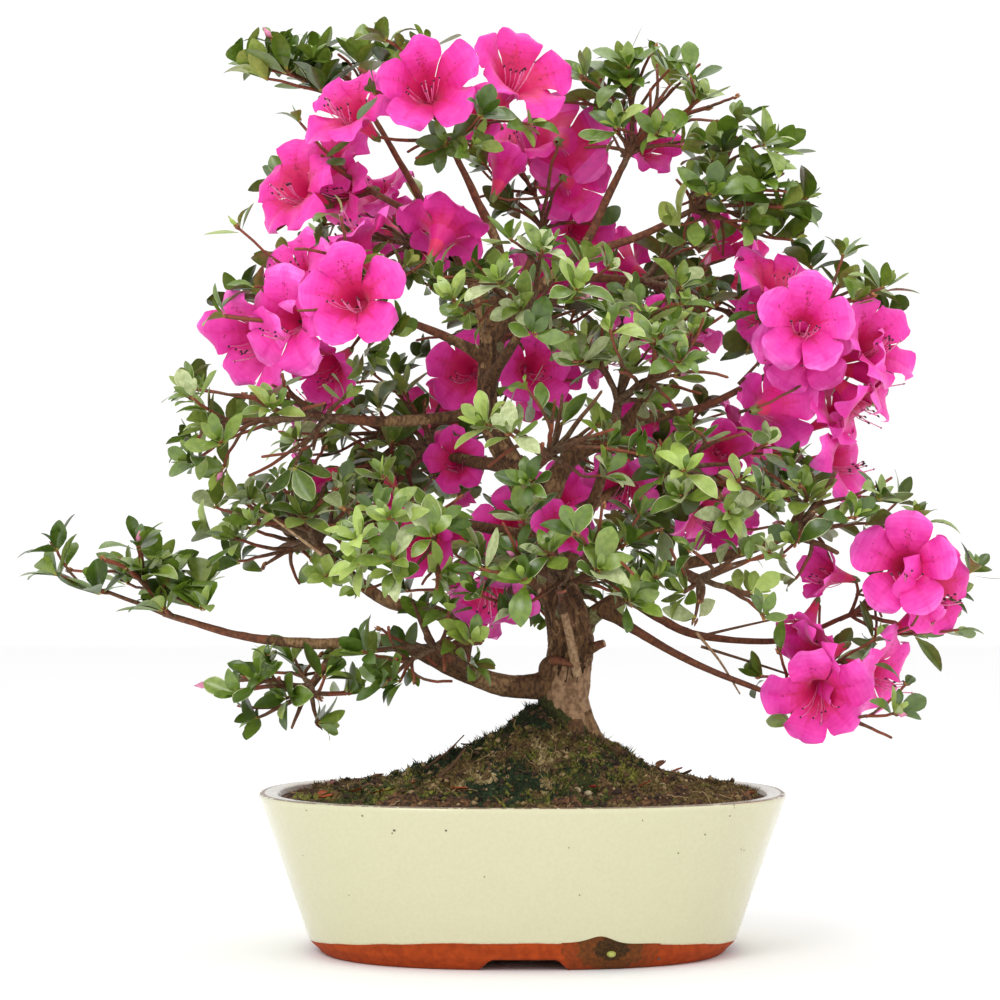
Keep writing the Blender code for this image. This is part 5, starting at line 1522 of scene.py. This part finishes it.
def pot_rings(turns):
    """The pot's rings from the middle of its under side up, over the lip and down to the floor inside.

    With them come the rows where the glaze, the top of the lip and the bare inner wall begin; the inner
    wall's grey-brown is painted shade.
    """
    line = glaze_line(turns)
    rings = []

    def ring(half_width, level):
        x, y = oval_plan(turns, half_width)
        level = np.broadcast_to(level, turns.shape)
        for far in (x - POT_CENTRE[0], y - POT_CENTRE[1]):
            share = (NOTCH_HALF_LOW - np.abs(far)) / (NOTCH_HALF_LOW - NOTCH_HALF_HIGH)
            level = np.maximum(level, FOOT_HEIGHT * smooth_step(share))
        rings.append(np.column_stack((x, y, level)))

    for share in RECESS_SHARES:
        ring(RECESS_HALF_WIDTH * share, FOOT_HEIGHT)
    for past, level in RECESS_EDGE:
        ring(RECESS_HALF_WIDTH + past, level)
    for past, level in FOOT_EDGE:
        ring(FOOT_HALF_WIDTH + past, level)
    ring(BASE_HALF_WIDTH - 0.4, np.minimum(7.2, line - 0.6))
    for share in np.linspace(0.0, 1.0, CLAY_ROWS):
        level = np.maximum(7.4, line - 0.4) * share + 7.3 * (1.0 - share)
        ring(wall_at(level) - 0.15, level)
    glaze_from = len(rings)
    ring(wall_at(line) + 0.1, line)
    glaze = GLAZE_STEP + tuple((share, GLAZE_PROUD) for share in np.linspace(0.04, 1.0, WALL_ROWS))
    for share, proud in glaze:
        level = line + (LIP_LEVEL - line) * share
        ring(wall_at(level) + proud, level)
    for angle in LIP_ANGLES:
        a = math.radians(angle)
        level = LIP_LEVEL + LIP_ROUND * math.sin(a) - 0.1
        ring(RIM_HALF_WIDTH - LIP_ROUND * (1 - math.cos(a)) + GLAZE_PROUD, level)
    lip_from = len(rings)
    ring(RIM_HALF_WIDTH - LIP_ROUND - 1.2, POT_HEIGHT)
    ring(RIM_HALF_WIDTH - LIP_WIDTH / 2, POT_HEIGHT - 0.3)
    ring(INNER_HALF_WIDTH + LIP_ROUND, POT_HEIGHT - 0.3)
    ring(INNER_HALF_WIDTH + 0.4, POT_HEIGHT - 1.0)
    wall_from = len(rings)
    for level in INNER_LEVELS:
        widening = (INNER_HALF_WIDTH - FLOOR_HALF_WIDTH) * (level - FLOOR_LEVEL) / (LIP_LEVEL - FLOOR_LEVEL)
        ring(FLOOR_HALF_WIDTH + widening, level)
    ring(FLOOR_HALF_WIDTH * 0.5, FLOOR_LEVEL)
    ring(0.0, FLOOR_LEVEL)
    return rings, glaze_from, lip_from, wall_from


def pot_slots(centre, glaze_from, lip_from, wall_from):
    """Which of the pot's colours each face takes, by its row, and near the stain by its place."""
    row = np.arange(len(centre)) // POT_ANGLES
    grainy = noise(centre, 1.6, 11)
    wide = noise(centre, 9.0, 12)
    wear_and_shade = wide + grainy * 0.6
    slots = np.full(len(centre), POT_SLOTS["glaze"])
    slots[row < glaze_from] = POT_SLOTS["clay"]
    slots[row < len(RECESS_SHARES) + len(RECESS_EDGE)] = POT_SLOTS["clay_dark"]
    slots[row == glaze_from] = POT_SLOTS["glaze_edge"]
    slots[(row >= lip_from) & (row < wall_from)] = POT_SLOTS["lip"]
    # lip_edge: a brown-grey line on the lip's edges, partly thin glaze there and partly a painted shadow line
    slots[((row == lip_from - 1) | (row == wall_from - 1)) & (wear_and_shade > -0.8)] = POT_SLOTS["lip_edge"]
    slots[(row >= lip_from - 3) & (row < lip_from - 1) & (wear_and_shade > -0.3)] = POT_SLOTS["lip_edge"]
    # the inner wall takes a grey-brown that is painted shade
    slots[row >= wall_from] = POT_SLOTS["wall"]
    off = np.hypot((centre[:, 0] - STAIN[0]) / STAIN_WIDE, centre[:, 2] - STAIN[1])
    off = off + grainy * 0.9 + wide * 1.2
    for reach, name in STAIN_RINGS:
        slots[(centre[:, 1] < -40.0) & (off < reach) & (row < glaze_from + 1)] = POT_SLOTS[name]
    return slots


def add_pit(batch, x, y, level, turn, half_width, half_height):
    """A pit of the glaze: a small flat six-sided spot that lies on the pot's wall."""
    near_x, near_y = oval_plan(np.array((turn - 0.01, turn + 0.01)), RIM_HALF_WIDTH)
    tangent = np.array((near_x[1] - near_x[0], near_y[1] - near_y[0], 0.0))
    tangent /= np.linalg.norm(tangent)
    rise = np.array((0.0, 0.0, 1.0)) + np.cross(tangent, (0.0, 0.0, 1.0)) * PIT_LEAN
    a = round_turns(6)
    points = np.outer(np.cos(a) * half_width, tangent)
    points = np.array((x, y, level)) + points + np.outer(np.sin(a) * half_height, rise)
    batch.add(points, [(0, 1, 2, 3), (0, 3, 4, 5)], POT_SLOTS["pit"])


def make_pot():
    """The glazed pot: clay feet and band, the glaze a hair proud of it, a rounded lip and a bare inner wall
    whose grey-brown is painted shade.
    """
    rings, glaze_from, lip_from, wall_from = pot_rings(pot_turns(POT_ANGLES))
    points = np.concatenate(rings)
    glazed = np.zeros(len(points))
    glazed[glaze_from * POT_ANGLES:lip_from * POT_ANGLES] = 1.0
    outward = points - POT_CENTRE
    outward[:, 2] = 0.0
    outward /= np.maximum(np.linalg.norm(outward, axis=1, keepdims=True), 1e-6)
    wobble = fractal(points, 22.0, 7, 3) * 0.22
    points += outward * (wobble * glazed)[:, None]
    faces = grid(len(rings), POT_ANGLES, wrap=True)
    batch = Batch()
    batch.add(points, faces, pot_slots(points[faces].mean(1), glaze_from, lip_from, wall_from))
    for x, level, size in GLAZE_PITS:
        x, y, turn = pot_front(x, wall_at(level) + 0.45)
        add_pit(batch, x, y, level, turn, size, size * 0.8)
    rng = random.Random("pits of the glaze")
    for _ in range(GLAZE_PITS_MORE):
        turn = rng.uniform(0.0, 2.0 * math.pi)
        level = 87.0 - 66.0 * rng.random() ** 1.6
        x, y = oval_plan(np.array([turn]), wall_at(level) + 0.42)
        add_pit(batch, x[0], y[0], level, turn, rng.uniform(0.25, 0.7), rng.uniform(0.25, 0.6))
    return batch


def mound_level(x, y):
    """The height of the moss and soil over a place in the pot."""
    dx, dy = x - TRUNK_FOOT[0], y - TRUNK_FOOT[1]
    far = np.maximum(np.hypot(dx, dy), 1e-6)
    side = dx / far
    left, right, front = (np.interp(far, *mound) for mound in (MOUND_LEFT, MOUND_RIGHT, MOUND_FRONT))
    along = np.abs(side) ** 1.5
    return np.where(side < 0, left, right) * along + front * (1.0 - along)


def on_mound(x, y, lift):
    return Vector((x, y, float(mound_level(np.array(x), np.array(y))) + lift))


def soil_slots(centre):
    """Which of the ground's colours a place takes: dark moss by the trunk, dry moss and soil further out."""
    far = np.hypot(centre[:, 0] - TRUNK_FOOT[0], centre[:, 1] - TRUNK_FOOT[1])
    side = (centre[:, 0] - TRUNK_FOOT[0]) / np.maximum(far, 1.0)
    left = smooth_step(0.45 - side)
    patch = fractal(centre, 15.0, 31, 3)
    fine = noise(centre, 2.4, 37)
    mossy = (48.0 + 62.0 * left - far) / 30.0 + patch * 0.9
    zone = fractal(centre, 24.0, 43, 2)
    slots = np.full(len(centre), SOIL_SLOTS["soil"])
    slots[fine > 0.2] = SOIL_SLOTS["soil_brown"]
    slots[patch > 0.15 + 0.2 * left] = SOIL_SLOTS["dry_moss"]
    green = mossy > 0.25
    slots[green] = SOIL_SLOTS["moss"]
    slots[green & (fine > 0.35)] = SOIL_SLOTS["moss_light"]
    slots[green & ((fine < -0.3) | (zone > 0.2 + fine * 0.3))] = SOIL_SLOTS["moss_dark"]
    slots[green & (zone < -0.3 - fine * 0.3)] = SOIL_SLOTS["dry_moss"]
    slots[green & (zone < -0.42) & (fine > 0.1)] = SOIL_SLOTS["lichen"]
    slots[green & (np.abs(patch) < 0.035)] = SOIL_SLOTS["soil"]
    for x, y, reach, name in MOSS_PATCHES:
        off = np.hypot(centre[:, 0] - x, centre[:, 1] - y) / reach
        slots[off + fine * 0.6 + patch * 1.1 + zone * 0.5 < 0.9] = SOIL_SLOTS[name]
    return slots


def make_soil():
    """The mound, moss cushions and bare soil from the pot's wall up to the trunk, and its top's points."""
    wall_x, wall_y = oval_plan(pot_turns(SOIL_ANGLES), INNER_HALF_WIDTH - SOIL_PLAY)
    share = np.linspace(0.0, 1.0, SOIL_ROWS) ** 0.85
    x = wall_x[None] + (TRUNK_FOOT[0] - wall_x[None]) * share[:, None]
    y = wall_y[None] + (TRUNK_FOOT[1] - wall_y[None]) * share[:, None]
    flat = np.column_stack((x.ravel(), y.ravel(), np.zeros(x.size)))
    soft = np.repeat(smooth_step(share / 0.06), SOIL_ANGLES)
    cushion = np.abs(fractal(flat, 15.0, 21, 2)) * 5.0
    lump = fractal(flat, 7.0, 25, 2) * 2.5 + fractal(flat, 2.8, 28, 2) * 1.5
    z = mound_level(x, y).ravel() + (lump - cushion + 1.2) * soft
    bottom = np.column_stack((wall_x, wall_y, np.full(SOIL_ANGLES, SOIL_BOTTOM)))
    points = np.concatenate((bottom, np.column_stack((x.ravel(), y.ravel(), z))))
    faces = grid(SOIL_ROWS + 1, SOIL_ANGLES, wrap=True)
    batch = Batch()
    batch.add(points, faces, soil_slots(points[faces].mean(1)))
    return batch, points[SOIL_ANGLES:].reshape(SOIL_ROWS, SOIL_ANGLES, 3)


def make_tufts(ground):
    """Short moss blades over the green parts of the mound."""
    rng = np.random.default_rng(5)
    flat = ground[2:].reshape(-1, 3)
    picks = flat[rng.integers(0, len(flat), MOSS_BLADES)] + rng.normal(0.0, 0.5, (MOSS_BLADES, 3)) * (1, 1, 0)
    slots = soil_slots(picks)
    bare = np.isin(slots, (SOIL_SLOTS["soil"], SOIL_SLOTS["soil_brown"]))
    keep = ~bare | (rng.random(len(picks)) < STRAY_MOSS)
    picks, slots = picks[keep], np.where(bare, SOIL_SLOTS["dry_moss"], slots)[keep]
    n = len(picks)
    tall = rng.uniform(*MOSS_TALL, n) * (1.0 + 0.5 * noise(picks, 6.0, 45))
    tall = tall * np.where(slots == SOIL_SLOTS["dry_moss"], 0.8, 1.0)
    wide = rng.uniform(*MOSS_WIDE, n)
    lean = rng.normal(0.0, 0.7, (n, 3)) * (1, 1, 0) + (0, 0, 1)
    turn = rng.uniform(0.0, 6.3, n)
    corners = [picks + np.column_stack((np.cos(turn + a), np.sin(turn + a), np.full(n, -0.4))) * wide[:, None]
               for a in (0.0, 2.1, 4.2)]
    corners.append(picks + lean * tall[:, None])
    sides = np.array(((0, 1, 3), (1, 2, 3), (2, 0, 3)))
    faces = (sides[None] + (np.arange(n) * 4)[:, None, None]).reshape(-1, 3)
    batch = Batch()
    batch.add(np.stack(corners, 1), faces, np.repeat(slots, 3))
    return batch


def add_fallen(batch, rng, spot, slot, scale=0.75):
    """A wilted petal or leaf lying curled on the ground."""
    turn, rise = rng.uniform(0.0, 6.3), rng.uniform(0.0, 3.0) * scale
    v, u = np.meshgrid(np.linspace(0.0, 1.0, 5), np.linspace(-1.0, 1.0, 4), indexing="ij")
    half = 3.6 * np.sin(np.pi * (0.15 + 0.8 * v)) * scale
    x, y = u * half, v * 12.0 * scale
    z = 1.2 * np.abs(u) ** 2 * scale + 1.0 * np.sin(3.0 * v + turn) * scale + 0.3 + rise * v
    c, s = math.cos(turn), math.sin(turn)
    points = np.stack((x * c - y * s, x * s + y * c, z), -1)
    batch.add(points.reshape(-1, 3) + tuple(spot), grid(5, 4), slot)


def add_pebble(batch, spot, size, slot):
    """A small rounded stone."""
    rows, count = 7, 10
    points = []
    for i in range(rows):
        lift = math.pi * (i / (rows - 1) - 0.5)
        for turn in round_turns(count):
            lump = size * (1.0 + 0.1 * math.sin(2 * turn + spot.x) + 0.06 * math.sin(3 * turn))
            points.append((spot.x + lump * math.cos(lift) * math.cos(turn),
                           spot.y + lump * math.cos(lift) * math.sin(turn),
                           spot.z + size * 0.75 * math.sin(lift)))
    batch.add(points, grid(rows, count, wrap=True), slot)


def make_litter(ground):
    """What lies on the mound: crumbs, dry roots, bark chips, petals, dead leaves and pebbles."""
    litter = Batch()
    rng = random.Random("litter")
    flat = ground[4:-8].reshape(-1, 3)
    for _ in range(CRUMBS):
        spot = flat[rng.randrange(len(flat))]
        size = 0.6 + 2.7 * rng.random() ** 2.5
        add_grain(litter, spot + (0, 0, 0.4), (size, size * 0.7, size * 0.5), frame_of(random_way(rng)),
                  rng.choice(CRUMB_KINDS))
    for _ in range(ROOTLETS):
        spot = flat[rng.randrange(len(flat))]
        turn, curl = rng.uniform(0.0, 6.3), rng.uniform(-0.5, 0.5)
        path = [Vector(spot) + Vector((0.0, 0.0, 0.8))]
        for _ in range(ROOTLET_STEPS):
            place = path[-1] + Vector((math.cos(turn), math.sin(turn), 0.0)) * rng.uniform(1.4, 2.6)
            path.append(on_mound(place.x, place.y, rng.uniform(0.6, 2.4)))
            turn += curl
        points, faces = bar(path, taper(0.36, 0.2, len(path)), 4)
        litter.add(points, faces, LITTER_SLOTS["chip_pale" if rng.random() < 0.5 else "chip"])
    for _ in range(BARK_CHIPS):
        spot = on_mound(rng.uniform(-70.0, -10.0), rng.uniform(-66.0, -20.0), 0.8)
        add_grain(litter, np.array(spot), (rng.uniform(2.0, 4.5), rng.uniform(0.9, 1.8), 0.7),
                  frame_of(random_way(rng)), LITTER_SLOTS["chip" if rng.random() < 0.6 else "chip_pale"])
    for x, y, kind in FALLEN:
        add_fallen(litter, rng, on_mound(x, y, 1.0), LITTER_SLOTS[kind])
    for _ in range(DEAD_LEAVES):
        turn, far = rng.uniform(0.0, 6.3), rng.uniform(35.0, 90.0)
        spot = on_mound(TRUNK_FOOT[0] + math.cos(turn) * far * 1.1 - 20.0, math.sin(turn) * far * 0.8, 1.2)
        add_fallen(litter, rng, spot, LITTER_SLOTS["dead_leaf"], 0.8)
    for x, y, size in PEBBLES:
        add_pebble(litter, on_mound(x, y, size * 0.3), size, LITTER_SLOTS["pebble"])
    x, y, _ = pot_front(STAIN[0], BASE_HALF_WIDTH + 1.0)
    add_pebble(litter, Vector((x, y - 0.8, 9.0)), STAIN_PEBBLE, LITTER_SLOTS["pebble_green"])
    path = smooth_path([on_mound(*bend) for bend in ROOT], 5)
    points, faces = bar(path, taper(1.1, 0.6, len(path)), 6)
    litter.add(points, faces, LITTER_SLOTS["chip"])
    return litter


def finish_piece(obj, nodes=()):
    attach(obj, "root")
    if nodes:
        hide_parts(*nodes)


def make_ground():
    """Pot, mound, moss and the litter on it."""
    soils = materials_of("ground", SOILS)
    finish_piece(make_pot().make("pot_glazed", materials_of("pot", GLAZES)), ["pot"])
    mound, ground = make_soil()
    finish_piece(mound.make("soil_and_moss", soils), ["soil_mound"])
    finish_piece(make_tufts(ground).make("moss_blades", soils, smooth=False))
    finish_piece(make_litter(ground).make("litter", materials_of("litter", LITTER)))


def stand(name, data, place, aim):
    """A camera or light in its place, turned to what it looks at."""
    obj = bpy.data.objects.new(name, data)
    bpy.context.scene.collection.objects.link(obj)
    obj.location = place
    obj.rotation_euler = (Vector(aim) - Vector(place)).to_track_quat("-Z", "Y").to_euler()
    return obj


def make_studio():
    """Camera, a pale floor, an even pale surround and soft lights from the front, the right and above."""
    scene = bpy.context.scene
    camera = bpy.data.cameras.new("camera")
    camera.lens = CAMERA_LENS
    camera.sensor_width = SENSOR
    scene.camera = stand("camera", camera, CAMERA_PLACE, CAMERA_AIM)
    scene.view_settings.view_transform = "Standard"
    world = bpy.data.worlds.new("surround")
    world.use_nodes = True
    fill(world.node_tree.nodes["Background"], {"Color": (1.0, 1.0, 1.0, 1.0), "Strength": SURROUND})
    scene.world = world
    for name, place, aim, size, power in LIGHTS:
        light = bpy.data.lights.new(name, "AREA")
        light.size = size
        light.energy = power
        stand(name, light, place, aim)
    floor = Batch()
    floor.add(np.array(((-1, -1, 0), (1, -1, 0), (1, 1, 0), (-1, 1, 0))) * FLOOR_REACH, [(0, 1, 2, 3)], 0)
    floor.make("floor", [make_material("floor_paper", FLOOR_COLOUR, 0.9)], smooth=False)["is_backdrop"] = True


make_studio()
make_ground()
make_limbs()
make_crown()
boxes = {"cad": CAD_BOX, "visual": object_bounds()}
{name: [list(corner) for corner in box] for name, box in boxes.items()}
